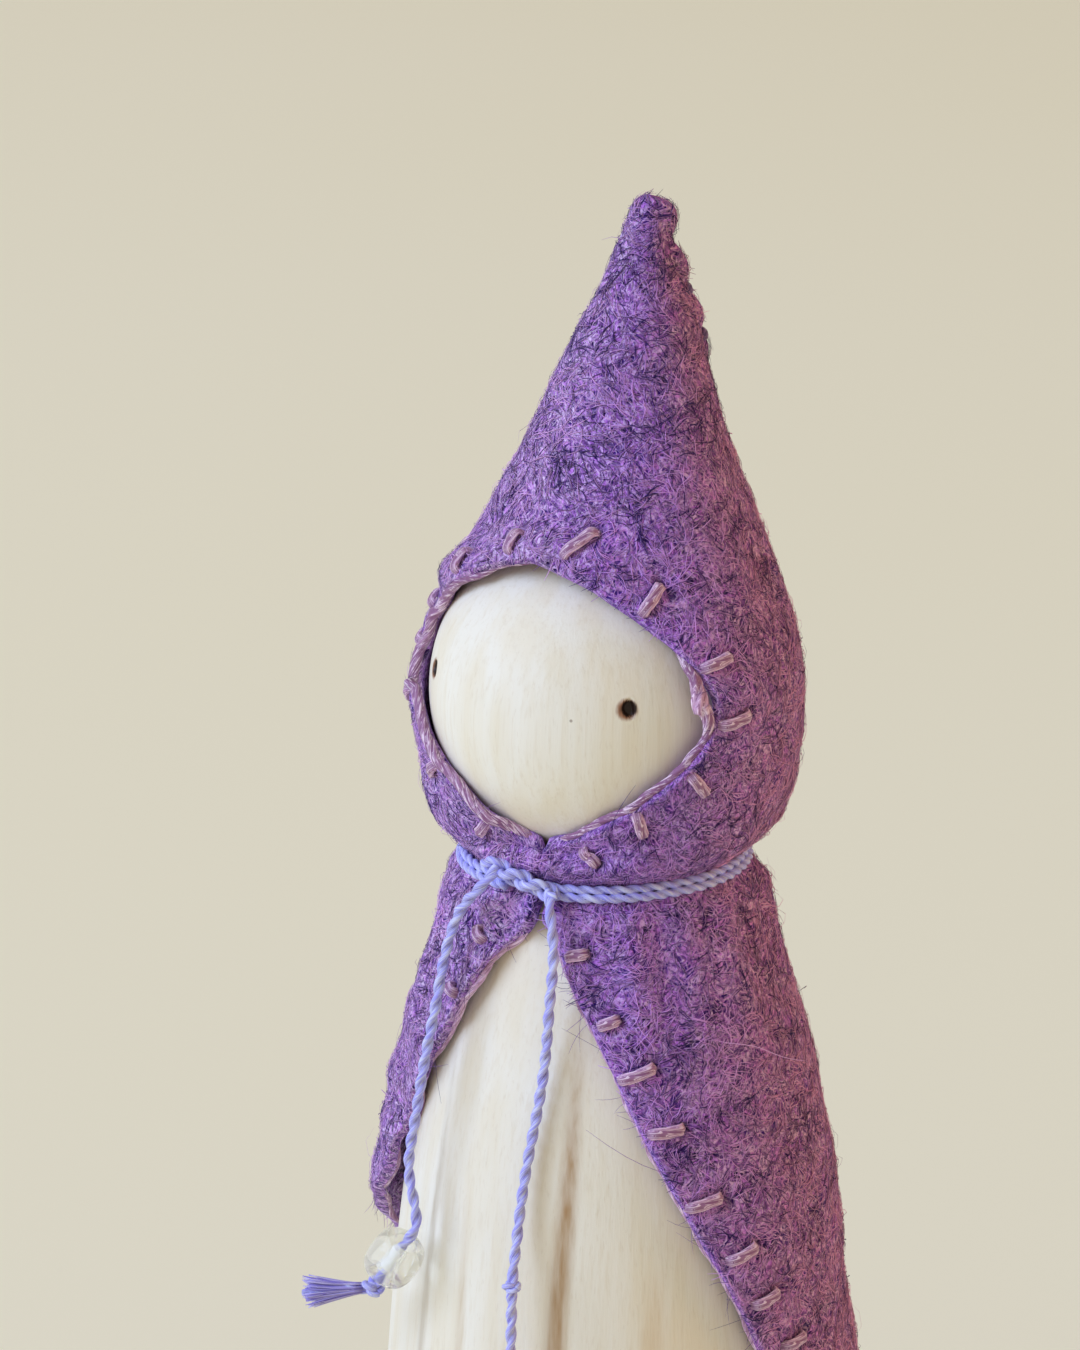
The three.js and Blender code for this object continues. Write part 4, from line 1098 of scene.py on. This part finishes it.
def felt_rows():
    """Angles and heights of the grid, and the number of the row at the brow."""
    x = np.linspace(-1, 1, COLUMNS)
    side = 0.45 * x + 0.55 * np.sin(np.pi * x / 2)
    share = np.linspace(1, 0, CAPE_ROWS)[:, None]
    cape_half = cape_half_angle(EDGE_DROP * share, side > 0)
    cape_z = NECK_Z - hem_drop(np.abs(side)) * share
    t = np.linspace(0, 1, THROAT_ROWS + 1)[1:-1, None]
    throat_z = NECK_Z + (THROAT_Z - NECK_Z) * t + 0 * side
    t = np.linspace(0, 1, RIM_ROWS)[:, None]
    half, rim_z = face_rim(np.pi * (1 - t), side < 0)
    back_z = THROAT_Z + (BROW_Z - THROAT_Z) * t
    face_z = back_z + (rim_z - back_z) * side**2
    cap_from = TIP_Z - TIP_RADIUS
    cone_z = np.linspace(BROW_Z, cap_from, CONE_ROWS)[1:, None] + 0 * side
    rise = np.linspace(0, np.pi / 2, TIP_ROWS + 1)[1:-1, None]
    tip_z = cap_from + TIP_RADIUS * np.sin(rise) + 0 * side
    half = np.concatenate([
        cape_half, 0 * throat_z + SLIT_ANGLE, np.maximum(half, SLIT_ANGLE * (t < 1)) + 0 * side,
        0 * cone_z, 0 * tip_z,
    ])
    z = np.concatenate([cape_z, throat_z, face_z, cone_z, tip_z])
    return np.pi + side * (np.pi - half), z, CAPE_ROWS + THROAT_ROWS - 1 + RIM_ROWS - 1


felt_angles, felt_heights, brow_row = felt_rows()
outer_plain = felt_point(felt_angles, felt_heights)
normals = felt_normal(felt_angles, felt_heights)
deep, at_hole = pressed(outer_plain.reshape(-1, 3))
grid_shape = felt_angles.shape
outer = outer_plain - deep.reshape(grid_shape)[..., None] * normals
inner = outer_plain - FELT_THICKNESS * normals
print("felt grid:", grid_shape, "closed above row", brow_row)


# %% Join the faces along the edges
EDGE_BULGE = 0.15  # how far the cut edge of the felt is rounded out


def round_strip(out_points, in_points, normal, away):
    """Points of a half-round edge between the outer and the inner face."""
    turn = np.pi * np.arange(1, STRIP + 1) / (STRIP + 1)
    middle = ((out_points + in_points) / 2)[:, None]
    half = np.linalg.norm(out_points - in_points, axis=-1)[:, None, None] / 2
    lift = half * np.cos(turn)[:, None] * normal[:, None]
    return middle + lift + EDGE_BULGE * np.sin(turn)[:, None] * away[:, None]


rows, columns = grid_shape
open_rows = brow_row + 1
right_run, left_run = (np.gradient(outer[:open_rows, k], axis=0) for k in (0, -1))
hem_run = np.gradient(outer[0], axis=0)
right_away = unit(np.cross(normals[:open_rows, 0], right_run))
left_away = unit(np.cross(left_run, normals[:open_rows, -1]))
hem_away = unit(np.cross(hem_run, normals[0]))
right_away[0] = hem_away[0] = unit(right_away[0] + hem_away[0])
left_away[0] = hem_away[-1] = unit(left_away[0] + hem_away[-1])
edges = [np.s_[:open_rows, 0], np.s_[:open_rows, -1], np.s_[0]]  # right, left and hem
strips = [
    round_strip(outer[edge], inner[edge], normals[edge], away)
    for edge, away in zip(edges, (right_away, left_away, hem_away))
]
tip_middle = outer[-1].mean(0) + [0, 0, 0.06]
felt_points = np.concatenate([
    outer.reshape(-1, 3), inner.reshape(-1, 3), *(s.reshape(-1, 3) for s in strips),
    [tip_middle, tip_middle - [0, 0, FELT_THICKNESS]],
])
count = rows * columns
outer_ids = np.arange(count).reshape(grid_shape)
inner_ids = outer_ids + count
strip_ids = 2 * count + np.arange(sum(len(strip) for strip in strips) * STRIP).reshape(-1, STRIP)
right_ids, left_ids, hem_ids = np.split(strip_ids, [open_rows, 2 * open_rows])

same = np.arange(len(felt_points))  # points that are one and the same
same[outer_ids[brow_row:, -1]] = outer_ids[brow_row:, 0]
same[inner_ids[brow_row:, -1]] = inner_ids[brow_row:, 0]
same[left_ids[-1]] = right_ids[-1]
same[hem_ids[0]] = right_ids[0]
same[hem_ids[-1]] = left_ids[0]


def patch(ids, turned=False):
    """Quads of a grid of point numbers, with their corners in order round the face."""
    quads = np.stack([ids[:-1, :-1], ids[:-1, 1:], ids[1:, 1:], ids[1:, :-1]], -1).reshape(-1, 4)
    return quads[:, ::-1] if turned else quads


right_band, left_band, hem_band = (
    np.c_[outer_ids[edge], ids, inner_ids[edge]]
    for edge, ids in zip(edges, (right_ids, left_ids, hem_ids))
)
felt_quads = np.concatenate([
    patch(outer_ids), patch(inner_ids, True),
    patch(right_band, True), patch(left_band), patch(hem_band),
])
j = np.arange(columns - 1)
top, bottom = outer_ids[-1], inner_ids[-1]
felt_fans = np.concatenate([
    np.stack([np.full(columns - 1, len(felt_points) - 2), top[j], top[j + 1]], 1),
    np.stack([np.full(columns - 1, len(felt_points) - 1), bottom[j + 1], bottom[j]], 1),
])

# %% [markdown]
# ## A flat map for the felt
# Fibres lie in the sheet, so their pattern needs flat coordinates in millimetres. A cone unrolls to a
# sector without stretching. Hood and cape are each close to a cone, so each is unrolled as one, and
# the two maps meet under the tie, where the cord hides the join.

# %% Unroll the felt
HOOD_APEX, HOOD_OPENING = 113.0, 0.372  # height of the apex, and radius gained per slant millimetre
CAPE_APEX, CAPE_OPENING = NECK_Z + 44.0, 0.2


def unrolled(angle, z, hood):
    """Sector coordinates: the slant distance from the apex, turned by the angle times the opening."""
    apex, opening = np.where(hood, HOOD_APEX, CAPE_APEX), np.where(hood, HOOD_OPENING, CAPE_OPENING)
    slant = (apex - z) / np.sqrt(1 - opening**2)
    turn = opening * angle
    return np.stack([slant * np.sin(turn) + np.where(hood, 0, 90), -slant * np.cos(turn)], -1)


cut = 1.3 * np.arange(1, STRIP + 1) / (STRIP + 1)  # distance across a cut edge
sideways = cut / np.linalg.norm(outer[:open_rows, 0, :2], axis=-1)[:, None]
point_angles = np.concatenate([
    felt_angles.ravel(), felt_angles.ravel(), (felt_angles[:open_rows, :1] - sideways).ravel(),
    (felt_angles[:open_rows, -1:] + sideways).ravel(), np.repeat(felt_angles[0], STRIP), [np.pi, np.pi],
])
point_heights = felt_points[:, 2].copy()
point_heights[count : 2 * count] = felt_heights.ravel()
point_heights[hem_ids] -= cut


def felt_places(faces):
    """Map of the faces, cut at the back: faces on the left count their angle from the other side."""
    angle, z = point_angles[faces], point_heights[faces]
    left = (angle.mean(1) > np.pi)[:, None]
    hood = (z.mean(1) > NECK_Z)[:, None]
    return unrolled(angle - 2 * np.pi * left, z, hood) * 0.01


# The way across the figure from its cool-lit side to its warm-shaded side, along which the felt is
# painted with light and shade.
PAINTED_LIGHT_WAY = np.array([0.814, 0.581, 0.0])


def painted_light_side(points):
    """Which side of the figure a point of the felt lies on, from 0 on the cool-lit side to 1 on the
    warm-shaded side: where the felt's painted light falls.
    """
    return 0.5 + 0.48 * outwards(points - felt_lean(points[..., 2])[..., None] * [0, 1, 0]) @ PAINTED_LIGHT_WAY


felt_map = [felt_places(felt_quads), felt_places(felt_fans)]
kept = np.unique(same)
number = np.zeros(len(felt_points), int)
number[kept] = np.arange(len(kept))
felt_faces = [number[same[felt_quads]], number[same[felt_fans]]]
garment = new_piece("felt_garment", felt_points[kept], felt_faces, felt_map, "Felt")
# The hole attribute holds painted shade round the stitch holes.
painted_hole_shade = np.concatenate([at_hole, np.zeros(len(felt_points) - count)])[kept]
# The side attribute tells where the felt's painted light falls, from the cool-lit side to the
# warm-shaded side.
for name, share in (("hole", painted_hole_shade), ("side", painted_light_side(felt_points[kept]))):
    layer = garment.data.attributes.new(name, "FLOAT", "POINT")
    layer.data.foreach_set("value", share.astype(np.float32))
print("felt garment:", len(garment.data.vertices), "points")

# %% [markdown]
# ## The finish of the felt
# Felt is a mat of short wool fibres that lie every way. Light fibres cross over a darker ground, and
# small gaps between them are darkest. One noise would look like stone, so there are two mats of several
# layers, each stretched along its own direction and bent a little, and the strongest one shows.

# %% Felt
# Painted light: colours laid over the felt on its cool-lit side, in the middle, and on its warm-shaded
# side.
PAINTED_LIGHT_TONES = [(0.93, 0.88, 1.0, 1), (0.77, 0.64, 1.0, 1), (0.92, 0.68, 0.68, 1)]
LOWER_TURNS, UPPER_TURNS = [0.15, 0.8, 1.45, 2.1, 2.75], [0.45, 1.1, 1.75, 2.4, 3.0]


def fibre_layer(tree, flat, turn, shift, size, low, high):
    """Streaks along one direction, that gather in some places and leave others to other layers."""
    laid = add(tree, "Mapping", Vector=flat, Rotation=(0, 0, turn), Location=(shift, 2.3 * shift, 0))
    shrunk = vector_sums(tree, "DIVIDE", laid.outputs["Vector"], (*size, 1))
    streak = noise(tree, shrunk, 1.0, 1.5, "2D")
    place = vector_sums(tree, "ADD", flat, (7.1 * shift, 3.7 * shift, 0))
    here = step_between(tree, noise(tree, place, 0.5, 1, "2D"), 0.36, 0.56)
    return times(tree, step_between(tree, streak, low, high), here)


def fibre_mat(tree, flat, turns, size, low, high):
    """The strongest of several layers of fibres."""
    strongest = 0.0
    for turn in turns:
        layer = fibre_layer(tree, flat, turn, 1 + 2.2 * turn, size, low, high)
        strongest = sums(tree, "MAXIMUM", strongest, layer)
    return strongest


def painted_felt_light(tree, side):
    """Painted light: bluer on the side lit by the cool lamp, deep in the middle, and plum on the side in
    warm shade.
    """
    light_tone = mixed(tree, step_between(tree, side, 0.06, 0.5), PAINTED_LIGHT_TONES[0], PAINTED_LIGHT_TONES[1])
    return mixed(tree, step_between(tree, side, 0.6, 0.98), light_tone, PAINTED_LIGHT_TONES[2])


def felt_material():
    material, tree, shader = new_material(
        "purple_felt", Roughness=0.95, Specular_IOR_Level=0.1, Sheen_Weight=0.4, Sheen_Roughness=0.5,
        Sheen_Tint=srgb(176, 150, 255),
    )
    flat = add(tree, "UVMap", {"uv_map": "Felt"}).outputs["UV"]
    flat = scaled(tree, flat, (100, 100, 1))
    warp = noise(tree, flat, 0.7, 2, "2D", output="Color")
    warp = scaled(tree, vector_sums(tree, "SUBTRACT", warp, 3 * (0.5,)), (1.3, 1.3, 0))
    bent = vector_sums(tree, "ADD", flat, warp)
    clouds = noise(tree, object_millimetres(tree), 0.3, 4, roughness=0.65)
    grain = step_between(tree, noise(tree, flat, 2.6, 3, "2D", 0.7), 0.38, 0.62)
    lower = fibre_mat(tree, bent, LOWER_TURNS, (0.16, 0.8), 0.5, 0.62)
    upper = fibre_mat(tree, bent, UPPER_TURNS, (0.11, 1.2), 0.56, 0.66)
    lit = plus(tree, times(tree, grain, 0.65), 0.35)
    ground = mixed(tree, step_between(tree, clouds, 0.38, 0.62), srgb(22, 5, 58), srgb(66, 28, 126))
    body = mixed(tree, step_between(tree, clouds, 0.36, 0.64), srgb(210, 142, 240), srgb(250, 184, 255))
    colour = mixed(tree, times(tree, lower, lit), ground, body)
    colour = mixed(tree, times(tree, upper, lit), colour, srgb(250, 226, 255))
    # Painted shade: the felt is darkened round each stitch hole.
    hole = add(tree, "Attribute", {"attribute_name": "hole"}).outputs["Fac"]
    colour = mixed(tree, times(tree, hole, 0.8), colour, srgb(38, 22, 52))
    # Painted light: the felt's colour is shifted by the side of the figure it lies on.
    side = add(tree, "Attribute", {"attribute_name": "side"}).outputs["Fac"]
    colour = mixed(tree, 1.0, colour, painted_felt_light(tree, side), "MULTIPLY")
    tree.links.new(colour, shader.inputs["Base Color"])
    height = plus(tree, times(tree, lower, 0.6), upper)
    raise_bump(tree, shader, height, 0.6, 0.0002)
    return material


dress(garment, felt_material(), "garment", "felt", "felt_hood", "felt_cape")

# %% [markdown]
# ## Loose fibres on the felt
# Wool felt is never quite smooth: fibres stand off it, catch the light and blur its outline. They are
# thin strands with few faces, laid on random places of the outer face. Most lie close to the felt,
# and some bow away from it.

# %% Lay the fibres
# The fibres take the same painted light as the felt.
FUZZ_FINISH = strand_material("felt_fibre", srgb(28, 5, 84), srgb(255, 208, 255), 0.9, painted_felt_light)
corner_a, corner_b = outer[:-1, :-1].reshape(-1, 3), outer[:-1, 1:].reshape(-1, 3)
corner_c, corner_d = outer[1:, 1:].reshape(-1, 3), outer[1:, :-1].reshape(-1, 3)
quad_area = np.linalg.norm(np.cross(corner_c - corner_a, corner_d - corner_b), axis=1) / 2
print(f"outer face of the felt: {quad_area.sum() / 100:.1f} square centimetres")


def fuzz_piece(name, made):
    return dress(new_piece(name, *made, "OFBake"), FUZZ_FINISH, "garment", "felt")


def felt_fibres(name, count, length, lift, thickness, seed):
    """Strands on random places of the felt: each runs along the sheet, near the direction in which the
    wool of that patch was combed, bends sideways, and rises as a low arch. Tints are uneven, and are
    painted darker towards the point of the hood as painted shade. Each strand keeps its side of the
    figure, for the painted light."""
    rng = np.random.default_rng(seed)
    pick = np.searchsorted(np.cumsum(quad_area), rng.uniform(0, quad_area.sum(), count))
    u, v = rng.uniform(size=(2, count, 1))
    low = corner_a[pick] + u * (corner_b[pick] - corner_a[pick])
    high = corner_d[pick] + u * (corner_c[pick] - corner_d[pick])
    spot = low + v * (high - low)
    normal = unit(np.cross(corner_c[pick] - corner_a[pick], corner_d[pick] - corner_b[pick]))
    level = unit(np.cross([0, 0, 1], normal) + [1e-6, 0, 0])
    combed = (2.6 * ripples(spot, 9, 16, 11) + rng.normal(0, 0.5, count))[:, None]
    side = np.cos(combed) * level + np.sin(combed) * np.cross(normal, level)
    t = np.linspace(-0.5, 0.5, 4)[None, :, None]
    reach = rng.uniform(*length, (count, 1, 1))
    bend = rng.normal(0, 0.5, (count, 1, 1)) * reach
    arch = rng.gamma(1.6, lift, (count, 1, 1))
    tilt = rng.normal(0, 0.5, (count, 1, 1)) * arch
    rise = arch * (1 - 4 * t**2) + tilt * 2 * t + 0.02 - reach**2 * t**2 / 26
    along = reach * t * side[:, None] + bend * t**2 * np.cross(normal, side)[:, None]
    paths = spot[:, None] + along + rise * normal[:, None]
    up = np.broadcast_to(normal[:, None], paths.shape)
    tint = rng.beta(0.6, 0.38, count) + 0.22 * ripples(spot, 1.5, 32, 8) + 0.2 * ripples(spot, 5, 24, 9)
    # Painted shade: the fibres are made darker towards the point of the hood.
    tint = np.clip(tint - 0.3 * smoothstep(spot[:, 2], BROW_Z - 2, TIP_Z - 8), 0.02, 0.98)
    thick = rng.uniform(*thickness, count)
    return fuzz_piece(name, strands(paths, up, thick, tint, painted_light_side(spot), 0.4, 0.35))


LAID = {"length": (0.6, 2.2), "lift": 0.04, "thickness": (0.045, 0.08)}
STRAY = {"length": (1.2, 3.2), "lift": 0.14, "thickness": (0.035, 0.055)}
fuzz = [felt_fibres(f"felt_fibres_{k}", 7600, seed=40 + k, **LAID) for k in range(4)]
stray = felt_fibres("felt_stray_hairs", 700, seed=50, **STRAY)


def edge_hairs(name, edge, shares, count, seed):
    """Hairs that stick out of a cut edge, over what lies behind it, and curl."""
    rng = np.random.default_rng(seed)
    points, normal, out = edge_frames(edge, rng.uniform(*shares, count) % 1)
    run = np.cross(out, normal)
    t = np.linspace(0, 1, 6)[None, :, None]
    reach = rng.gamma(3.0, 0.42, (count, 1, 1))
    slant, curl, rise = rng.normal(0, (0.7, 0.5, 0.25), (count, 3)).T[:, :, None, None]
    way = out[:, None] + slant * run[:, None]
    start = (points - 0.4 * out - 0.3 * normal)[:, None]
    lifted = (rise * t**2 + 0.08) * normal[:, None]
    paths = start + reach * (t * way + curl * t**2 * run[:, None] + lifted)
    up = np.broadcast_to(normal[:, None], paths.shape)
    thick, tint = rng.uniform(0.025, 0.04, count), rng.uniform(0.02, 0.4, count)
    return fuzz_piece(name, strands(paths, up, thick, tint, painted_light_side(points), 0.4))


hairs = [
    edge_hairs("hood_edge_hairs", hood_edge, (-0.1, 0.1), 26, 51),
    edge_hairs("cape_edge_hairs", cape_edge, (0.62, 1.3), 170, 52),
]
LONG_HAIR = [  # angle, height and distance from the felt
    (1.02, 57.3, -0.1), (1.075, 57.0, 0.25), (1.243, 56.25, 0.5), (1.41, 54.9, 0.6),
    (1.578, 53.85, 1.0),
]
hair_angle, hair_z, hair_lift = np.transpose(LONG_HAIR)
hair_points = felt_point(hair_angle, hair_z) + hair_lift[:, None] * felt_normal(hair_angle, hair_z)
hair_path = smooth_path(hair_points, 0.3)[None]
# A side of 0.1 gives this hair the painted light of the cool-lit side.
thick, tint, side = np.array([[0.07], [0.97], [0.1]])
hair = fuzz_piece("felt_long_hair", strands(hair_path, outwards(hair_path), thick, tint, side))

# %% [markdown]
# ## The sewn edges
# The thread is stranded cotton in mauve, twisted loosely and pressed flat where it lies on the felt.
# A leg comes round the edge from behind, lies on the felt and dives into its hole. The thread along
# the edge is drawn tight at every leg and slack between them.

# %% Sewing thread
def thread_material(name, shade, body, bright, shine):
    material, tree, shader = new_material(name, Roughness=0.6, Sheen_Weight=0.25)
    place, _, depth = map_parts(tree, "Surface")
    fine = noise(tree, scaled(tree, place, (0.8, 18, 1)), 1.0, 2, "2D")
    patch_noise = noise(tree, object_millimetres(tree), 0.4, 1)
    light = mixed(tree, patch_noise, body, bright)
    # Painted shade: the furrows between the strands and the dark streaks take the shade colour; the
    # light streaks take the shine colour as painted glints.
    colour = mixed(tree, step_between(tree, depth, 0.5, 0.95), shade, light)
    colour = mixed(tree, times(tree, step_between(tree, fine, 0.5, 0.34), 0.7), colour, shade)
    fibres = times(tree, step_between(tree, fine, 0.5, 0.64), 0.7)
    colour = mixed(tree, fibres, colour, shine)
    tree.links.new(colour, shader.inputs["Base Color"])
    raise_bump(tree, shader, fine, 0.35, 0.0001)
    return material


THREAD_FINISH = thread_material(
    "sewing_thread", srgb(140, 88, 134), srgb(212, 160, 204), srgb(230, 186, 222), srgb(255, 232, 252)
)
SEAM_FINISH = thread_material(
    "seam_thread", srgb(70, 44, 92), srgb(126, 90, 150), srgb(146, 110, 168), srgb(176, 142, 190)
)


def thread_tubes(paths, up, radius, flatten, pitch, sides=20):
    """Threads of five loose strands along several paths of the same number of points."""
    arc = arc_lengths(paths)
    section = ply_section(arc, radius, 5, pitch, sides, flatten, 0.58)
    reach = np.linalg.norm(section, axis=-1)
    rings = carried(paths, up, section)
    return merged([mapped_tube(r, a, x / x.max(), 0.6) for r, a, x in zip(rings, arc, reach)])


def stitch_legs(legs):
    """Paths of the legs: out of the felt, flat along it with a slight arch, and in again."""
    t = np.linspace(-1, 1, 21)
    distance = legs[4].mean(1)[:, None] + np.diff(legs[4], axis=1) / 2 * t
    spot, face_normal = inside_points(legs, distance)
    lift = 0.2 - 0.95 * np.abs(t) ** 9 - 0.08 * t**2
    return spot + lift[None, :, None] * face_normal, face_normal


def edge_run(edge, legs, lay):
    """The thread along the edge: tight and lifted at the legs, slack between them. lay gives, for some
    shares of the edge, the thread's radius and how far it lies away from the felt. Its ends go into
    the felt. The last result is the radius at each point."""
    fine = np.linspace(0, 1, 900)
    length = arc_lengths(felt_point(*edge(fine)))
    shares = np.interp(np.arange(0, length[-1], 0.22), length, fine)
    points, normal, out = edge_frames(edge, shares)
    at, stitches = np.interp(shares, fine, length), np.interp(legs[0], fine, length)
    near = hump(np.abs(at[:, None] - stitches).min(1), 0, 0.7)
    knots, radii, distances = np.transpose(lay)
    radius = np.interp(shares, knots, radii)
    ends = np.exp(-at / 0.6) + np.exp(-(length[-1] - at) / 0.6)
    away = np.interp(shares, knots, distances) + 0.07 * np.sin(1.7 * at) * (1 - near) - 0.8 * ends
    drop = np.minimum(2 * radius - 1.35, -0.45) + 0.12 * near + 0.08 * np.sin(0.9 * at + 1)
    return points + away[:, None] * out + drop[:, None] * normal, normal, radius


HOOD_LAY = [  # share of the edge, radius of the thread, distance from the felt
    (0, 0.33, 0.15), (0.17, 0.33, 0.2), (0.205, 0.46, 0.7), (0.235, 0.62, 1.15), (0.265, 0.62, 1.15),
    (0.29, 0.46, 0.7), (0.335, 0.2, -0.15), (0.5, 0.2, -0.15), (0.57, 0.27, 0.0), (0.66, 0.43, 0.25),
    (1, 0.43, 0.25),
]
CAPE_LAY = [
    (0, 0.3, 0.2), (0.06, 0.28, 0.1), (0.11, 0.2, -0.15), (0.36, 0.25, 0.0), (0.64, 0.25, 0.0),
    (0.9, 0.26, 0.0), (1, 0.3, 0.1),
]


def sew(name, edge, legs, lay, node):
    leg_paths, leg_up = stitch_legs(legs)
    run_path, run_up, run_radius = edge_run(edge, legs, lay)
    thread = merged([
        thread_tubes(leg_paths, leg_up, radius=0.42, flatten=0.6, pitch=8.0),
        thread_tubes(run_path[None], run_up[None], run_radius[None, :, None], flatten=0.9, pitch=6.5),
    ])
    return dress(new_piece(name, *thread), THREAD_FINISH, "garment", "stitch_thread", node)


sew("hood_edge_sewing", hood_edge, hood_legs, HOOD_LAY, "hood_edge_thread")
sew("cape_edge_sewing", cape_edge, cape_legs, CAPE_LAY, "cape_edge_thread")

# %% [markdown]
# ## The seam at the back
# The hood is closed behind by whip stitches: each goes over the two edges, which stand up as a ridge,
# and draws them in. So each stitch is a short thread across the ridge, slightly askew, that dives
# into the felt on both sides.

# %% Whip stitches
WHIP_HALF, WHIP_SLANT = 0.95, 0.45  # half the width of a stitch, and how far each end is off its middle


def whip_stitches():
    z = np.arange(TIP_Z + SCALLOP_START - 2 * SCALLOP_PITCH, THROAT_Z, -SCALLOP_PITCH)[:, None]
    t = np.linspace(-1, 1, 15)[None, :]
    height = z + WHIP_SLANT * t
    angle = np.pi + np.clip(WHIP_HALF * t / hood_radius(height), -0.8, 0.8)
    lift = 0.22 - 0.75 * np.abs(t) ** 5
    normal = felt_normal(angle, height)
    return felt_point(angle, height) + lift[..., None] * normal, normal


seam_paths, seam_up = whip_stitches()
seam_thread = thread_tubes(seam_paths, seam_up, radius=0.28, flatten=0.7, pitch=5.0)
seam = new_piece("back_seam_sewing", *seam_thread)
dress(seam, SEAM_FINISH, "garment", "stitch_thread", "back_seam_thread")

# %% [markdown]
# ## The tie round the neck
# The cord goes twice round the neck, in the crease where the hood meets the cape, and is tied in front
# with a half knot: two strands that twist round each other. The two turns lie side by side. The felt's
# slopes above and below the crease tell where a round cord comes to rest in it.

# %% Wind the cord
hood_slope = np.arctan(3 * (HOOD_RADIUS - NECK_FELT_RADIUS) / (HEAD_Z - NECK_Z))
cape_slope = np.arctan((BELL_RADIUS - NECK_RADIUS) / BELL_LENGTH + CAPE_FLARE)
hood_way = np.array([np.sin(hood_slope), np.cos(hood_slope)])
cape_way = np.array([np.sin(cape_slope), -np.cos(cape_slope)])
crease = (CORD_RADIUS + 0.08) / np.sin((np.pi - hood_slope - cape_slope) / 2)
upper_turn = np.array([NECK_FELT_RADIUS, NECK_Z]) + crease * unit(hood_way + cape_way)
WOUND_RADIUS, TURN_PITCH = 0.33, 0.54  # pulled tight, the turns are thinner and press together
CROSS_FROM, CROSS_TO, KNOT_FROM, KNOT_TO = -12, 18, -11, 16


def wound_cord():
    """Two turns: the distance and the height step down the cape behind the knot. Away from the knot
    the cord bites into the felt."""
    angle = np.linspace(CROSS_TO - 6, CROSS_FROM + 726, 620)
    down = TURN_PITCH * smoothstep(angle, CROSS_FROM + 360, CROSS_TO + 360)[:, None]
    seat = upper_turn + down * cape_way
    bearing = np.abs((angle + 180) % 360 - 180)
    sunk = 0.12 + 0.3 * smoothstep(bearing, 25, 70)
    return round_figure(np.radians(angle), seat[:, 0] - sunk, seat[:, 1])


wound = wound_cord()
winding = new_piece("neck_cord", *cord_tube(wound, outwards(wound), WOUND_RADIUS, pitch=2.1))
dress(winding, CORD_FINISH, "garment", "tie_cord", "neck_winding")

# %% Tie the half knot
knot_seat = upper_turn[0] + 1.45 * CORD_RADIUS


def knot_strand(start):
    """A strand that winds round the middle line of the knot, from one end to the other."""
    share = np.linspace(-0.06, 1.06, 90)
    twist = start + 2 * np.pi * KNOT_TURNS * share
    spread = 0.86 * TAIL_RADIUS
    turn = np.radians(KNOT_FROM + (KNOT_TO - KNOT_FROM) * share)
    radius = knot_seat + spread * np.cos(twist)
    z = NECK_Z + KNOT_RISE + KNOT_SLANT * (0.5 - share) + spread * np.sin(twist)
    path = round_figure(turn, radius, z)
    return cord_tube(path, outwards(path), TAIL_RADIUS, pitch=2.2)


knot = new_piece("neck_half_knot", *merged([knot_strand(0), knot_strand(np.pi)]))
dress(knot, CORD_FINISH, "garment", "tie_cord", "neck_knot")

# %% [markdown]
# ## Floor and light
# The figure stands on a pale cream floor that fills the picture. A large soft lamp on the left is cool,
# a weak and very wide sun on the right is warm, and a pale sky fills the shade. A second lamp close
# by could give the warm side too, but it would also leave a bright patch on the floor.

# %% Stage
def floor_material():
    material, tree, shader = new_material("floor", Roughness=0.9, Specular_IOR_Level=0.1)
    tint = noise(tree, object_millimetres(tree), 0.004, 1)
    colour = mixed(tree, tint, srgb(252, 254, 232), srgb(251, 252, 226))
    tree.links.new(colour, shader.inputs["Base Color"])
    return material


FLOOR_REACH = 4000.0
corners = FLOOR_REACH * np.array([[-1, -1, 0], [1, -1, 0], [1, 1, 0], [-1, 1, 0]])
floor = new_piece("floor", corners, [np.array([[0, 1, 2, 3]])])
floor.data.materials.append(floor_material())

SKY_LIGHT, SKY_SHOWN, SKY_STRENGTH = (1.0, 0.845, 0.62, 1.0), (1.5, 1.4, 1.16, 1.0), 0.42
world = bpy.data.worlds.new("studio")
bpy.context.scene.world = world
world.use_nodes = True
sky = world.node_tree
ray = add(sky, "LightPath").outputs
shown = sums(sky, "MAXIMUM", ray["Is Camera Ray"], ray["Is Glossy Ray"])
shown = sums(sky, "MAXIMUM", shown, ray["Is Transmission Ray"])
background = sky.nodes["Background"].inputs
sky.links.new(mixed(sky, shown, SKY_LIGHT, SKY_SHOWN), background["Color"])
background["Strength"].default_value = SKY_STRENGTH

LAMP_DISTANCE, LAMP_AIM = 3000.0, np.array([0.0, 0.0, 70.0])
KEY_WAY = -0.95 * view_right + 0.38 * view_back + [0, 0, 0.52]
KEY_POWER, KEY_COLOUR, KEY_SIZE = 82.0, (0.54, 0.69, 1.02), 2.0
FILL_WAY = 0.95 * view_right - 0.05 * view_back + [0, 0, 0.36]
FILL_POWER, FILL_COLOUR, FILL_ANGLE = 0.66, (1.0, 0.43, 0.22), 0.5


def lamp_turned(name, kind, way, power, colour):
    """A lamp in the given direction from the figure, turned towards its middle."""
    lamp = bpy.data.objects.new(name, bpy.data.lights.new(name, kind))
    lamp.data.energy, lamp.data.color = power, colour
    back = unit(way)
    side = unit(np.cross([0, 0, 1], back))
    lamp.matrix_world = standing(side, np.cross(back, side), back, LAMP_AIM + LAMP_DISTANCE * back)
    bpy.context.scene.collection.objects.link(lamp)
    return lamp.data


lamp_turned("key", "AREA", KEY_WAY, KEY_POWER, KEY_COLOUR).size = KEY_SIZE
lamp_turned("warm_fill", "SUN", FILL_WAY, FILL_POWER, FILL_COLOUR).angle = FILL_ANGLE
bpy.context.scene.view_settings.view_transform = "Standard"
